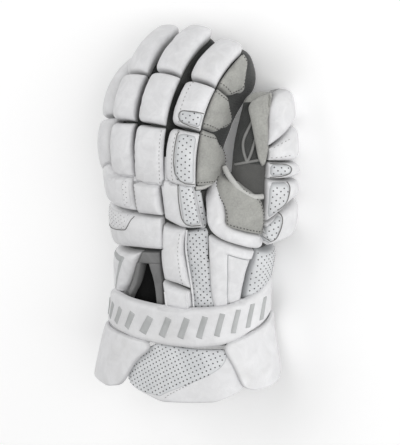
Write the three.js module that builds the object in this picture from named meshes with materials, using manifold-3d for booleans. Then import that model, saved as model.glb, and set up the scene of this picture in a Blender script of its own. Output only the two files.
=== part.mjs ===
import * as THREE from "three";
import { mergeVertices } from "three/addons/utils/BufferGeometryUtils.js";
import Module from "manifold-3d";

const wasm = await Module();
wasm.setup();

// A padded left-hand field glove lying palm down.
// X points to the thumb side, Y to the fingertips, Z up through the back of the hand.
// All lengths are millimetres and all angles are degrees.

// Cloth wall of the hollow hand, the clearance between neighbouring pieces, and how far nearly
// flat facets may be merged.
const wall = 2.5;
const gap = 0.3;
const facetMerge = 0.07;

// Hand from the wrist opening to the knuckle web.
const handLength = 150;
const wristWide = 118;
const wristDeep = 68;
const knuckleWide = 94;
const knuckleDeep = 42;
const handHeight = 50;
const handSway = 14;

// Base of the thumb, which fills out the palm beside the hand.
const thumbBaseWide = 54;
const thumbBaseLength = 120;

// Fingers.
const indexLength = 118;
const middleLength = 127;
const ringLength = 125;
const littleLength = 96;
const fingerWide = 21;
const fingerDeep = 36;
const fingerSpacing = 26.5;
const fingerPad = 11;

// Thumb.
const thumbLength = 124;
const thumbWide = 30;
const thumbDeep = 47;
const thumbPad = 11;

// Padding of the back of the hand and the wrist.
const backPad = 12;
const thinPad = 5;
const saddlePad = 7;
const palmThick = 2.5;
const creasePad = 2;

// Cuff.
const cuffWide = 155;
const cuffDeep = 104;
const cuffThick = 9;
const cuffLength = 96;
const flapThick = 5;

// Turn of the whole glove as it lies on a surface.
const restPitch = 1.44;
const restRoll = -4.88;

const radians = (degrees) => THREE.MathUtils.degToRad(degrees);

// Interpolates one named column of a table smoothly at the share t.
function column(rows, name, t) {
  const last = rows.length - 1;
  let i = 0;
  while (i < last - 1 && t > rows[i + 1].at) {
    i += 1;
  }
  const a = rows[i];
  const b = rows[i + 1];
  const slope = (k) => {
    const lo = rows[Math.max(k - 1, 0)];
    const hi = rows[Math.min(k + 1, last)];
    return (hi[name] - lo[name]) / (hi.at - lo.at);
  };
  const span = b.at - a.at;
  const m0 = slope(i) * span;
  const m1 = slope(i + 1) * span;
  const u = (t - a.at) / span;
  if (u > 1) {
    return b[name] + (u - 1) * m1;
  }
  if (u < 0) {
    return a[name] + u * m0;
  }
  const h = u * u * (3 - 2 * u);
  return a[name] * (1 - h) + b[name] * h + m0 * u * (1 - u) * (1 - u) - m1 * u * u * (1 - u);
}

// A rail is a table of sections along a curve: centre, width, depth, roll and squareness.
function centre(rail, t) {
  return new THREE.Vector3(column(rail, "x", t), column(rail, "y", t), column(rail, "z", t));
}

// Local axes at the share t: along the rail, to the side and out of the back.
function axes(rail, t) {
  const along = centre(rail, t + 0.01).sub(centre(rail, t - 0.01)).normalize();
  const side = new THREE.Vector3(1, 0, 0);
  side.addScaledVector(along, -side.dot(along)).normalize();
  const back = new THREE.Vector3().crossVectors(side, along).normalize();
  const roll = radians(column(rail, "roll", t));
  const turnedBack = back.clone().multiplyScalar(Math.cos(roll)).addScaledVector(side, Math.sin(roll));
  const turnedSide = side.clone().multiplyScalar(Math.cos(roll)).addScaledVector(back, -Math.sin(roll));
  return { along, side: turnedSide, back: turnedBack };
}

const rounded = (value, power) => Math.sign(value) * Math.abs(value) ** power;

// A point of the rail's skin: share t, angle from the back (plus is to the side), lift off the skin.
function skin(rail, t, angle, lift) {
  const frame = axes(rail, t);
  const power = 2 / column(rail, "square", t);
  const halfWide = column(rail, "wide", t) / 2 + lift;
  const halfDeep = column(rail, "deep", t) / 2 + lift;
  const point = centre(rail, t);
  point.addScaledVector(frame.side, halfWide * rounded(Math.sin(radians(angle)), power));
  point.addScaledVector(frame.back, halfDeep * rounded(Math.cos(radians(angle)), power));
  return point;
}

// A closed solid from rings of points, each ring running the same way round.
function ringSolid(rings) {
  const sides = rings[0].length;
  const positions = [];
  const index = [];
  for (const ring of rings) {
    for (const point of ring) {
      positions.push(point.x, point.y, point.z);
    }
  }
  for (let i = 0; i + 1 < rings.length; i += 1) {
    for (let k = 0; k < sides; k += 1) {
      const a = i * sides + k;
      const b = i * sides + ((k + 1) % sides);
      index.push(a, b, b + sides, a, b + sides, a + sides);
    }
  }
  for (const end of [0, rings.length - 1]) {
    const middle = new THREE.Vector3();
    for (const point of rings[end]) {
      middle.addScaledVector(point, 1 / sides);
    }
    const hub = positions.length / 3;
    positions.push(middle.x, middle.y, middle.z);
    for (let k = 0; k < sides; k += 1) {
      const a = end * sides + k;
      const b = end * sides + ((k + 1) % sides);
      if (end === 0) {
        index.push(b, a, hub);
      } else {
        index.push(a, b, hub);
      }
    }
  }
  return asManifold(positions, index);
}

function asManifold(positions, index) {
  let geometry = new THREE.BufferGeometry();
  geometry.setAttribute("position", new THREE.Float32BufferAttribute(positions, 3));
  geometry.setIndex(index);
  geometry = mergeVertices(geometry, 1e-4);
  const vertProperties = new Float32Array(geometry.attributes.position.array);
  const triVerts = new Uint32Array(geometry.index.array);
  const solid = new wasm.Manifold(new wasm.Mesh({ numProp: 3, vertProperties, triVerts }));
  if (solid.volume() < 0) {
    for (let i = 0; i < triVerts.length; i += 3) {
      const swap = triVerts[i];
      triVerts[i] = triVerts[i + 1];
      triVerts[i + 1] = swap;
    }
    return new wasm.Manifold(new wasm.Mesh({ numProp: 3, vertProperties, triVerts }));
  }
  return solid;
}

// A tube round the rail between two shares, with a rounded end at the far share.
function tube(rail, { from, to, grow = 0, sides, rings, dome = 0.8 }) {
  const list = [];
  const ringAt = (t, shrink, ahead) => {
    const frame = axes(rail, t);
    const middle = centre(rail, t);
    const ring = [];
    for (let k = 0; k < sides; k += 1) {
      const point = skin(rail, t, (360 * k) / sides, grow).sub(middle).multiplyScalar(shrink);
      ring.push(point.add(middle).addScaledVector(frame.along, ahead));
    }
    return ring;
  };
  for (let i = 0; i <= rings; i += 1) {
    list.push(ringAt(from + ((to - from) * i) / rings, 1, 0));
  }
  const radius = (column(rail, "deep", to) / 2 + grow) * dome;
  for (const tilt of [35, 62]) {
    list.push(ringAt(to, Math.cos(radians(tilt)), radius * Math.sin(radians(tilt))));
  }
  const solid = ringSolid(list);
  return solid;
}

// Shares across a pad, closer together near its edges.
function spread(count) {
  const list = [];
  for (let i = 0; i <= count; i += 1) {
    list.push((1 - Math.cos((Math.PI * i) / count)) / 2);
  }
  return list;
}

const pillow = (u, power) => (1 - Math.abs(2 * u - 1) ** power) ** (1 / power);

// Pushes a pad's outer faces out by the given distance.
function growSheet(top, bottom, grow) {
  const rows = top.length;
  const cols = top[0].length;
  const at = (i, k) => top[Math.min(Math.max(i, 0), rows - 1)][Math.min(Math.max(k, 0), cols - 1)];
  const moved = [];
  for (let i = 0; i < rows; i += 1) {
    const line = [];
    for (let k = 0; k < cols; k += 1) {
      const acrossPad = at(i, k + 1).clone().sub(at(i, k - 1)).normalize();
      const downPad = at(i + 1, k).clone().sub(at(i - 1, k)).normalize();
      const out = top[i][k].clone().sub(bottom[i][k]).normalize();
      const push = out.clone().multiplyScalar(grow);
      if (k === 0) {
        push.addScaledVector(acrossPad, -grow);
      }
      if (k === cols - 1) {
        push.addScaledVector(acrossPad, grow);
      }
      if (i === 0) {
        push.addScaledVector(downPad, -grow);
      }
      if (i === rows - 1) {
        push.addScaledVector(downPad, grow);
      }
      line.push({ push, out });
    }
    moved.push(line);
  }
  for (let i = 0; i < rows; i += 1) {
    for (let k = 0; k < cols; k += 1) {
      const { push, out } = moved[i][k];
      top[i][k].add(push);
      bottom[i][k].add(push).addScaledVector(out, -2 * grow);
    }
  }
}

// A closed solid between two grids of points.
function sheetSolid(top, bottom) {
  const rows = top.length;
  const cols = top[0].length;
  const positions = [];
  const index = [];
  for (const grid of [top, bottom]) {
    for (const line of grid) {
      for (const point of line) {
        positions.push(point.x, point.y, point.z);
      }
    }
  }
  const size = rows * cols;
  const id = (layer, i, k) => layer * size + i * cols + k;
  for (let i = 0; i + 1 < rows; i += 1) {
    for (let k = 0; k + 1 < cols; k += 1) {
      index.push(id(0, i, k), id(0, i, k + 1), id(0, i + 1, k + 1));
      index.push(id(0, i, k), id(0, i + 1, k + 1), id(0, i + 1, k));
      index.push(id(1, i, k), id(1, i + 1, k + 1), id(1, i, k + 1));
      index.push(id(1, i, k), id(1, i + 1, k), id(1, i + 1, k + 1));
    }
  }
  const rim = [];
  for (let k = 0; k < cols; k += 1) {
    rim.push([0, k]);
  }
  for (let i = 1; i < rows; i += 1) {
    rim.push([i, cols - 1]);
  }
  for (let k = cols - 2; k >= 0; k -= 1) {
    rim.push([rows - 1, k]);
  }
  for (let i = rows - 2; i > 0; i -= 1) {
    rim.push([i, 0]);
  }
  for (let n = 0; n < rim.length; n += 1) {
    const [i, k] = rim[n];
    const [j, m] = rim[(n + 1) % rim.length];
    index.push(id(0, i, k), id(1, i, k), id(1, j, m));
    index.push(id(0, i, k), id(1, j, m), id(0, j, m));
  }
  return asManifold(positions, index);
}

// Hand: at is the share from the wrist to the knuckle web, x of the sway towards the thumb,
// z of the hand's height, wide and deep run from the wrist's size (0) to the knuckles' (1).
const handTable = [
  { at: 0.0, x: 0.5, z: 0.38, size: -0.1, square: 2.2 },
  { at: 0.27, x: 0.4, z: 0.4, size: 0.0, square: 2.2 },
  { at: 0.47, x: 0.1, z: 0.5, size: 0.35, square: 2.2 },
  { at: 0.67, x: -0.2, z: 0.64, size: 0.8, square: 2.2 },
  { at: 0.87, x: -0.4, z: 0.74, size: 1.0, square: 2.3 },
  { at: 1.0, x: -0.45, z: 0.76, size: 1.05, square: 2.4 },
];
const wristStart = -0.64 * handLength;
const handRail = handTable.map((row) => ({
  at: row.at,
  x: row.x * handSway,
  y: wristStart + row.at * handLength,
  z: row.z * handHeight,
  wide: wristWide + (knuckleWide - wristWide) * row.size,
  deep: wristDeep + (knuckleDeep - wristDeep) * row.size,
  roll: 0,
  square: row.square,
}));

// Thumb base: a swelling of the wrist and palm whose far end carries the thumb.
const thumbBaseTable = [
  { at: 0.0, x: 0.48, z: 0.3, size: 1.19 },
  { at: 0.31, x: 0.63, z: 0.33, size: 1.26 },
  { at: 0.48, x: 0.74, z: 0.3, size: 1.2 },
  { at: 0.64, x: 0.87, z: 0.24, size: 1.11 },
  { at: 0.81, x: 1.0, z: 0.19, size: 1.0 },
  { at: 1.0, x: 1.09, z: 0.15, size: 0.78 },
];
const thumbBaseRail = thumbBaseTable.map((row) => ({
  at: row.at,
  x: row.x * thumbBaseWide,
  y: (row.at - 0.725) * thumbBaseLength,
  z: row.z * thumbBaseWide,
  wide: row.size * thumbBaseWide,
  deep: row.size * thumbBaseWide,
  roll: 45,
  square: 2.1,
}));

// Thumb: the back of the thumb faces outwards and down, so it is seen side on from above.
const thumbTable = [
  { at: 0.0, x: 0.46, y: -0.22, z: 0.11, wide: 1.0, deep: 1.05 },
  { at: 0.25, x: 0.535, y: 0.03, z: 0.055, wide: 1.0, deep: 1.0 },
  { at: 0.5, x: 0.565, y: 0.28, z: 0.045, wide: 0.98, deep: 0.92 },
  { at: 0.75, x: 0.56, y: 0.53, z: 0.025, wide: 0.94, deep: 0.84 },
  { at: 1.0, x: 0.53, y: 0.8, z: -0.03, wide: 0.8, deep: 0.6 },
];
const thumbRail = thumbTable.map((row) => ({
  at: row.at,
  x: row.x * thumbLength,
  y: row.y * thumbLength,
  z: row.z * thumbLength,
  wide: row.wide * thumbWide,
  deep: row.deep * thumbDeep,
  roll: 135,
  square: 2.3,
}));

// Bend of every finger: its slope below the level at shares of its length.
const bend = [
  { at: 0.0, slope: -3 },
  { at: 0.25, slope: 1 },
  { at: 0.45, slope: 17 },
  { at: 0.62, slope: 31 },
  { at: 0.8, slope: 47 },
  { at: 1.0, slope: 62 },
];

// Fingers: place across the hand in spacings, height as a share of the hand's height, and the
// extra depth on the palm side as a share of the finger's depth.
const fingerTable = {
  index: { across: 1.24, up: 0.69, splay: 3, roll: 9, length: indexLength, size: 1.0, belly: 0.3 },
  middle: { across: 0.23, up: 0.81, splay: 0, roll: 2, length: middleLength, size: 1.0, belly: 0 },
  ring: { across: -0.75, up: 0.78, splay: -4, roll: -6, length: ringLength, size: 0.98, belly: 0 },
  little: { across: -1.8, up: 0.54, splay: -8, roll: -18, length: littleLength, size: 0.92, belly: 0 },
};
const bellyFull = 0.5;
const fingerStart = 0.16 * handLength;

function fingerRail({ across, up, splay, roll, length, size, belly }) {
  const steps = 10;
  const point = new THREE.Vector3(across * fingerSpacing, fingerStart, up * handHeight);
  const rows = [];
  for (let i = 0; i <= steps; i += 1) {
    const at = i / steps;
    const taper = at < 0.75 ? 1 : 1 - 0.35 * (at - 0.75);
    const extra = belly * fingerDeep * Math.min(1, at / bellyFull);
    const drop = radians(column(bend, "slope", at));
    const upright = (Math.cos(radians(roll)) * extra) / 2;
    rows.push({
      at,
      x: point.x - (Math.sin(radians(roll)) * extra) / 2,
      y: point.y - Math.sin(drop) * upright,
      z: point.z - Math.cos(drop) * upright,
      wide: fingerWide * size * taper,
      deep: fingerDeep * size * taper + extra,
      roll,
      square: 2.7,
    });
    const slope = radians(column(bend, "slope", at + 0.5 / steps));
    const level = (Math.cos(slope) * length) / steps;
    point.x += Math.sin(radians(splay)) * level;
    point.y += Math.cos(radians(splay)) * level;
    point.z -= (Math.sin(slope) * length) / steps;
  }
  return rows;
}
const fingerRails = {};
for (const [name, row] of Object.entries(fingerTable)) {
  fingerRails[name] = fingerRail(row);
}

// Cuff: a bell that opens out to the rear round the wrist.
const cuffTable = [
  { at: 0.0, wide: 1.17, deep: 1.14, z: 0.2 },
  { at: 0.3, wide: 1.1, deep: 1.06, z: 0.18 },
  { at: 0.6, wide: 0.99, deep: 1.0, z: 0.17 },
  { at: 1.0, wide: 0.97, deep: 0.99, z: 0.16 },
];
const cuffRear = -0.3 * handLength - cuffLength;
const cuffRail = cuffTable.map((row) => ({
  at: row.at,
  x: 0.45 * handSway,
  y: cuffRear + row.at * cuffLength,
  z: row.z * cuffDeep,
  wide: row.wide * (cuffWide - 2 * cuffThick),
  deep: row.deep * (cuffDeep - 2 * cuffThick),
  roll: 0,
  square: 2.2,
}));

// Places on a rail. A stripe runs along it and gives the angles of its two edges at each share;
// a belt runs round it and gives the shares of its two ends at each angle.
function stripe(rail, rows) {
  const table = rows.map((row, i) => ({ slant: 0, ...row, at: i / (rows.length - 1) }));
  return (u, v) => {
    const left = column(table, "left", v);
    const right = column(table, "right", v);
    const t = column(table, "t", v) + column(table, "slant", v) * (u - 0.5);
    return { rail, t, angle: left + (right - left) * u };
  };
}

function belt(rail, rows) {
  const first = rows[0].angle;
  const range = rows[rows.length - 1].angle - first;
  const table = rows.map((row) => ({ ...row, at: (row.angle - first) / range }));
  return (u, v) => {
    const rear = column(table, "rear", u);
    const front = column(table, "front", u);
    return { rail, t: rear + (front - rear) * v, angle: first + range * u };
  };
}

// Hollow body: outer skins, their grown copies that the padding clears, and the cavities.
const forms = {
  hand: { rail: handRail, from: 0, to: 0.86, sides: 18, rings: 6, dome: 0.5 },
  thumb_base: { rail: thumbBaseRail, from: 0, to: 0.97, sides: 14, rings: 5, dome: 0.5 },
  thumb: { rail: thumbRail, from: 0.3, to: 0.96, sides: 13, rings: 5, dome: 0.8 },
  index: { rail: fingerRails.index, from: 0.05, to: 0.95, sides: 12, rings: 7, dome: 0.7 },
  middle: { rail: fingerRails.middle, from: 0.05, to: 0.95, sides: 12, rings: 7, dome: 0.7 },
  ring: { rail: fingerRails.ring, from: 0.05, to: 0.95, sides: 12, rings: 7, dome: 0.7 },
  little: { rail: fingerRails.little, from: 0.06, to: 0.95, sides: 12, rings: 6, dome: 0.7 },
};
const digits = ["thumb", "index", "middle", "ring", "little"];
const outer = {};
const grown = {};
const cavity = {};
for (const [name, form] of Object.entries(forms)) {
  outer[name] = tube(form.rail, form);
  grown[name] = tube(form.rail, { ...form, from: form.from - 0.01, grow: gap });
  const coarse = { sides: form.sides - 4, rings: form.rings - 2 };
  cavity[name] = tube(form.rail, { ...form, ...coarse, from: form.from - 0.16, grow: -wall });
}

const solids = {};
const allCavities = wasm.Manifold.union(Object.values(cavity));
solids.hand_shell = outer.hand.add(outer.thumb_base).subtract(allCavities);
for (const name of digits) {
  solids.hand_shell = solids.hand_shell.subtract(grown[name]);
  solids[`${name}_shell`] = outer[name].subtract(cavity[name]);
}
const bodyClear = wasm.Manifold.union(Object.values(grown));

// Padding. Each row: where it lies, its height and the pieces of cloth it is kept clear of.
const cover = [];
function pad(name, place, high, shape = {}) {
  cover.push({ name, place, shape: { high, low: -wall, edge: 0.5, across: 5, down: 5, power: 3, ...shape } });
}

// Builds a piece between its top and bottom grids.
function coverSolid({ place, shape }, grow) {
  const top = [];
  const bottom = [];
  for (const v of spread(shape.down)) {
    const lineTop = [];
    const lineBottom = [];
    for (const u of spread(shape.across)) {
      const { rail, t, angle } = place(u, v);
      const pillowed = pillow(u, shape.power) * pillow(v, shape.power);
      const rise = shape.edge + (1 - shape.edge) * pillowed;
      lineTop.push(skin(rail, t, angle, shape.high * rise));
      lineBottom.push(skin(rail, t, angle, shape.low));
    }
    top.push(lineTop);
    bottom.push(lineBottom);
  }
  if (grow > 0) {
    growSheet(top, bottom, grow);
  }
  return sheetSolid(top, bottom);
}

// Finger pads: shares of the finger where each begins and ends.
const fingerPads = [
  { name: "index_base_pad", finger: "index", from: 0.085, to: 0.4, right: 38 },
  { name: "index_middle_pad", finger: "index", from: 0.415, to: 0.675, right: 38 },
  { name: "index_tip_pad", finger: "index", from: 0.69, to: 1.03, right: 36 },
  { name: "middle_base_pad", finger: "middle", from: 0.075, to: 0.395, right: 48 },
  { name: "middle_middle_pad", finger: "middle", from: 0.41, to: 0.665, right: 48 },
  { name: "middle_tip_pad", finger: "middle", from: 0.68, to: 1.06, right: 46 },
  { name: "ring_base_pad", finger: "ring", from: 0.09, to: 0.395, right: 48 },
  { name: "ring_middle_pad", finger: "ring", from: 0.41, to: 0.65, right: 48 },
  { name: "ring_tip_pad", finger: "ring", from: 0.665, to: 1.06, right: 46 },
  { name: "little_lower_pad", finger: "little", from: 0.115, to: 0.48, right: 50 },
  { name: "little_tip_pad", finger: "little", from: 0.5, to: 1.03, right: 50 },
];
const padLeft = -52;
for (const { name, finger, from, to, right } of fingerPads) {
  const rows = [
    { t: from, left: padLeft, right },
    { t: to, left: padLeft, right },
  ];
  pad(name, stripe(fingerRails[finger], rows), fingerPad, { across: 4, down: 4 });
}

// Index finger's suede side: three lobes down its thumb side.
const lobes = [
  { name: "index_tip_lobe", from: 0.7, to: 0.98, high: 7, notch: 79, swell: 90, end: 55 },
  { name: "index_middle_lobe", from: 0.435, to: 0.69, high: 7.5, notch: 76, swell: 99, end: 79 },
  { name: "index_base_lobe", from: 0.11, to: 0.425, high: 8.5, notch: 78, swell: 105, end: 78 },
];
for (const { name, from, to, high, notch, swell, end } of lobes) {
  const rows = [
    { t: from, left: 40, right: notch },
    { t: (from + to) / 2, left: 40, right: swell },
    { t: to, left: 40, right: end },
  ];
  pad(name, stripe(fingerRails.index, rows), high, { across: 4, down: 4, power: 2.6 });
}

// Knuckle row.
pad("little_ring_knuckle_pad", belt(handRail, [
  { angle: -78, rear: 0.79, front: 0.93 },
  { angle: -45, rear: 0.75, front: 0.93 },
  { angle: -5, rear: 0.735, front: 0.9 },
]), backPad);
pad("middle_knuckle_pad", belt(handRail, [
  { angle: -3, rear: 0.725, front: 0.9 },
  { angle: 9, rear: 0.72, front: 0.9 },
  { angle: 21.5, rear: 0.715, front: 0.89 },
]), backPad, { across: 4, down: 4 });
pad("index_knuckle_pad", belt(handRail, [
  { angle: 23.5, rear: 0.7, front: 0.89 },
  { angle: 42, rear: 0.645, front: 0.9 },
  { angle: 66, rear: 0.625, front: 0.89 },
]), backPad * 0.9, { across: 4, down: 4 });

// Back of the hand.
pad("outer_back_pad", belt(handRail, [
  { angle: -80, rear: 0.53, front: 0.775 },
  { angle: -45, rear: 0.54, front: 0.74 },
  { angle: -10, rear: 0.555, front: 0.72 },
  { angle: 19, rear: 0.545, front: 0.7 },
]), backPad);
pad("centre_long_pad", stripe(handRail, [
  { t: 0.35, left: 13, right: 35, slant: -0.06 },
  { t: 0.52, left: 14, right: 37 },
  { t: 0.65, left: 21, right: 44, slant: -0.03 },
]), backPad);
pad("lower_centre_pad", stripe(handRail, [
  { t: 0.2, left: 10, right: 34 },
  { t: 0.335, left: 10, right: 34, slant: -0.06 },
]), backPad * 0.8, { across: 4, down: 4 });
pad("perforated_centre_panel", stripe(handRail, [
  { t: 0.2, left: 34, right: 63 },
  { t: 0.4, left: 35, right: 67 },
  { t: 0.52, left: 37, right: 71 },
  { t: 0.615, left: 43, right: 73 },
]), thinPad, { across: 4 });
pad("outer_wrist_pad", stripe(handRail, [
  { t: 0.2, left: -80, right: -44 },
  { t: 0.35, left: -80, right: -28 },
  { t: 0.52, left: -80, right: -9 },
]), backPad, { across: 4, down: 4 });
pad("vent_frame", stripe(handRail, [
  { t: 0.2, left: -38, right: 7 },
  { t: 0.35, left: -24, right: 8 },
  { t: 0.53, left: -6, right: 11 },
]), thinPad);
const ventWindow = {
  place: stripe(handRail, [
    { t: 0.17, left: -32, right: 1 },
    { t: 0.33, left: -17, right: 0 },
    { t: 0.455, left: -6, right: -2 },
  ]),
  shape: { high: 2 * thinPad, low: -wall, edge: 1, across: 2, down: 3, power: 3 },
};

// Thumb side of the hand and the wrist.
pad("roll_pad", stripe(thumbBaseRail, [
  { t: 0.7, left: -40, right: -14 },
  { t: 0.79, left: -48, right: -16 },
  { t: 0.88, left: -64, right: -30 },
  { t: 0.98, left: -96, right: -62 },
]), saddlePad * 1.3, { across: 4, down: 4 });
pad("suede_saddle", stripe(thumbBaseRail, [
  { t: 0.77, left: -14, right: 42 },
  { t: 0.88, left: -29, right: 39 },
  { t: 0.97, left: -58, right: 26 },
  { t: 1.04, left: -68, right: -18 },
]), saddlePad, { across: 4 });
pad("thumb_base_roll", stripe(thumbBaseRail, [
  { t: 0.69, left: -13, right: 48 },
  { t: 0.765, left: -13, right: 48 },
]), saddlePad, { down: 3 });
pad("trapezoid_wrist_pad", stripe(thumbBaseRail, [
  { t: 0.28, left: 6, right: 34 },
  { t: 0.675, left: -30, right: 36 },
]), thinPad * 1.4, { across: 4, down: 4 });
pad("perforated_thumb_side_panel", stripe(thumbBaseRail, [
  { t: 0.28, left: 38, right: 105 },
  { t: 0.675, left: 39, right: 105 },
]), thinPad * 2, { across: 4 });

// Thumb: cap, middle pad and three panels down its back, and a strip along its side.
pad("thumb_tip_cap", belt(thumbRail, [
  { angle: -80, rear: 0.74, front: 1.07 },
  { angle: -5, rear: 0.885, front: 1.07 },
  { angle: 76, rear: 0.88, front: 1.07 },
]), thumbPad);
pad("thumb_middle_pad", belt(thumbRail, [
  { angle: -78, rear: 0.66, front: 0.725 },
  { angle: -5, rear: 0.655, front: 0.87 },
  { angle: 76, rear: 0.66, front: 0.865 },
]), thumbPad, { down: 4 });
pad("thumb_upper_panel", stripe(thumbRail, [
  { t: 0.555, left: -79, right: 76 },
  { t: 0.645, left: -79, right: 76 },
]), thumbPad, { down: 3 });
pad("thumb_lower_panel", belt(thumbRail, [
  { angle: -79, rear: 0.295, front: 0.54 },
  { angle: -30, rear: 0.42, front: 0.54 },
  { angle: 60, rear: 0.44, front: 0.54 },
]), thumbPad, { down: 4 });
pad("thumb_heel_panel", belt(thumbRail, [
  { angle: -78, rear: 0.14, front: 0.28 },
  { angle: -45, rear: 0.2, front: 0.37 },
  { angle: 30, rear: 0.25, front: 0.425 },
]), thumbPad, { across: 4, down: 4 });
pad("thumb_suede_strip", stripe(thumbRail, [
  { t: 0.63, left: -87, right: -82 },
  { t: 0.76, left: -97, right: -83 },
  { t: 0.89, left: -110, right: -84 },
  { t: 1.03, left: -120, right: -85 },
]), thinPad, { across: 3, down: 4 });

// Narrow strip in the crease beside the index knuckle, and the palm under the hand.
pad("knuckle_crease_strip", stripe(handRail, [
  { t: 0.6, left: 64, right: 78 },
  { t: 0.88, left: 66, right: 80 },
]), creasePad, { across: 3, down: 4 });
pad("palm_patch", stripe(handRail, [
  { t: 0.3, left: 150, right: 215 },
  { t: 0.8, left: 140, right: 225 },
]), palmThick, { edge: 0.8, across: 3, down: 3 });

// Cuff: a band open under the wrist, and three flaps that flare out behind it.
pad("cuff_band", belt(cuffRail, [
  { angle: -118, rear: 0.53, front: 0.85 },
  { angle: -50, rear: 0.48, front: 0.79 },
  { angle: 5, rear: 0.455, front: 0.79 },
  { angle: 58, rear: 0.515, front: 0.84 },
  { angle: 86, rear: 0.62, front: 0.91 },
  { angle: 118, rear: 0.74, front: 1.06 },
]), cuffThick, { low: 0, across: 14, down: 3, edge: 0.75, power: 8 });
pad("cuff_outer_ear", stripe(cuffRail, [
  { t: -0.03, left: -56, right: -20 },
  { t: 0.05, left: -88, right: -11 },
  { t: 0.25, left: -100, right: -4 },
  { t: 0.46, left: -100, right: 6 },
]), 2 * flapThick + gap, { low: flapThick + gap, edge: 0.9 });
pad("cuff_thumb_ear", stripe(cuffRail, [
  { t: 0.15, left: 76, right: 98, slant: 0.02 },
  { t: 0.22, left: 70, right: 118, slant: 0.05 },
  { t: 0.4, left: 64, right: 128, slant: 0.1 },
  { t: 0.635, left: 57, right: 128, slant: 0.22 },
]), 2 * flapThick + gap, { low: flapThick + gap, edge: 0.9 });
pad("cuff_tongue", stripe(cuffRail, [
  { t: 0.0, left: 6, right: 58, slant: 0.09 },
  { t: 0.11, left: -10, right: 74, slant: 0.1 },
  { t: 0.28, left: -10, right: 76, slant: 0.06 },
  { t: 0.46, left: 4, right: 62, slant: 0.02 },
]), flapThick, { low: 0, edge: 0.8 });

// Each piece is trimmed to the body and to the pieces laid before it.
const laid = [];
for (const piece of cover) {
  let solid = coverSolid(piece, 0).subtract(bodyClear);
  if (piece.name === "vent_frame") {
    solid = solid.subtract(coverSolid(ventWindow, 0));
  }
  for (const other of laid) {
    solid = solid.subtract(other);
  }
  solids[piece.name] = solid;
  laid.push(coverSolid(piece, gap));
}

// Slivers that a cut leaves behind are dropped, and nearly flat facets are merged.
for (const [name, solid] of Object.entries(solids)) {
  const parts = solid.decompose().sort((a, b) => b.volume() - a.volume());
  solids[name] = parts[0].simplify(facetMerge);
}

const white = { color: 0xe4e5e6, roughness: 0.6 };
const suede = { color: 0xaeada6, roughness: 0.9 };
const cloth = { color: 0x3c3d3c, roughness: 0.95 };
const grey = { color: 0x707070, roughness: 0.6 };
const looks = {
  hand_shell: cloth,
  thumb_shell: cloth,
  index_shell: cloth,
  middle_shell: cloth,
  ring_shell: cloth,
  little_shell: cloth,
  vent_frame: grey,
  suede_saddle: suede,
  index_tip_lobe: suede,
  index_middle_lobe: suede,
  index_base_lobe: suede,
  thumb_suede_strip: suede,
  palm_patch: suede,
};

const glove = new THREE.Group();
for (const [name, solid] of Object.entries(solids)) {
  const { vertProperties, triVerts } = solid.getMesh();
  const geometry = new THREE.BufferGeometry();
  geometry.setAttribute("position", new THREE.BufferAttribute(vertProperties, 3));
  geometry.setIndex(new THREE.BufferAttribute(triVerts, 1));
  const look = looks[name] ?? white;
  const mesh = new THREE.Mesh(geometry, new THREE.MeshStandardMaterial({ ...look, metalness: 0 }));
  mesh.name = name;
  glove.add(mesh);
}

// The glove is turned onto the three places that it rests on: the tip of the thumb, the tip of
// the little finger and the heel of the wrist. The origin lies on that surface, under its middle.
glove.rotation.set(radians(restPitch), radians(restRoll), 0);
glove.updateMatrixWorld(true);
const box = new THREE.Box3().setFromObject(glove, true);
const middle = box.getCenter(new THREE.Vector3());
glove.position.set(-middle.x, -middle.y, -box.min.z);

export default glove;
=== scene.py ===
import math

import bmesh
import bpy
import numpy as np
from mathutils import Matrix, Vector, noise
from mathutils.bvhtree import BVHTree


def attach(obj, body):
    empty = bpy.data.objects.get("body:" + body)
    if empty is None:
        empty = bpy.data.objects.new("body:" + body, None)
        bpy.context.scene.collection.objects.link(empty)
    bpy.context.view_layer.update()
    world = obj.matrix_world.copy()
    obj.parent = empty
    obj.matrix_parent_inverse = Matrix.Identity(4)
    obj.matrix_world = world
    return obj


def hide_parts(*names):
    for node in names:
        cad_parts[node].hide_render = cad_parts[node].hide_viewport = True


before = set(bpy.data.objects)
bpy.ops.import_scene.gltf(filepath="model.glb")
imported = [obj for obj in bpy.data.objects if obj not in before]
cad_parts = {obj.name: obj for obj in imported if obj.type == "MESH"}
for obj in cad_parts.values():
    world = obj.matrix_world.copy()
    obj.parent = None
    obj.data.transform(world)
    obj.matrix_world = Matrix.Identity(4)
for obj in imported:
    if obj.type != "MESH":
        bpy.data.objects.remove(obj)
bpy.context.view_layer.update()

# The glove is laid out in millimetres with X to the thumb side, Y to the fingertips and Z out of
# the back of the hand. laidDown turns it and moves it on to the floor, in metres.
rest = {"pitch": 1.44, "roll": -4.88, "shift": np.array((-7.9208, -6.0621, 18.2134)), "lowest": 0.0002}
restTurn = np.array(
    Matrix.Rotation(math.radians(rest["pitch"]), 3, "X") @ Matrix.Rotation(math.radians(rest["roll"]), 3, "Y")
)


def laidDown(points):
    return (np.asarray(points) @ restTurn.T + rest["shift"]) / 1000


def aboveFloor(points):
    place = laidDown(points)
    place[:, 2] = place[:, 2].clip(rest["lowest"])
    return place


def added(name, data):
    piece = bpy.data.objects.new(name, data)
    bpy.context.collection.objects.link(piece)
    return piece


def pointsOf(mesh):
    place = np.empty(len(mesh.vertices) * 3)
    mesh.vertices.foreach_get("co", place)
    return place.reshape(-1, 3)


def facedOut(mesh):
    work = bmesh.new()
    work.from_mesh(mesh)
    bmesh.ops.recalc_face_normals(work, faces=work.faces)
    work.to_mesh(mesh)
    work.free()


# Camera and light first
view = {"turn": 45.0, "rise": 12.0, "target": (30.0, 0.0, 30.0), "away": 1500.0, "lens": 151.7, "clip": 20}


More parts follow.
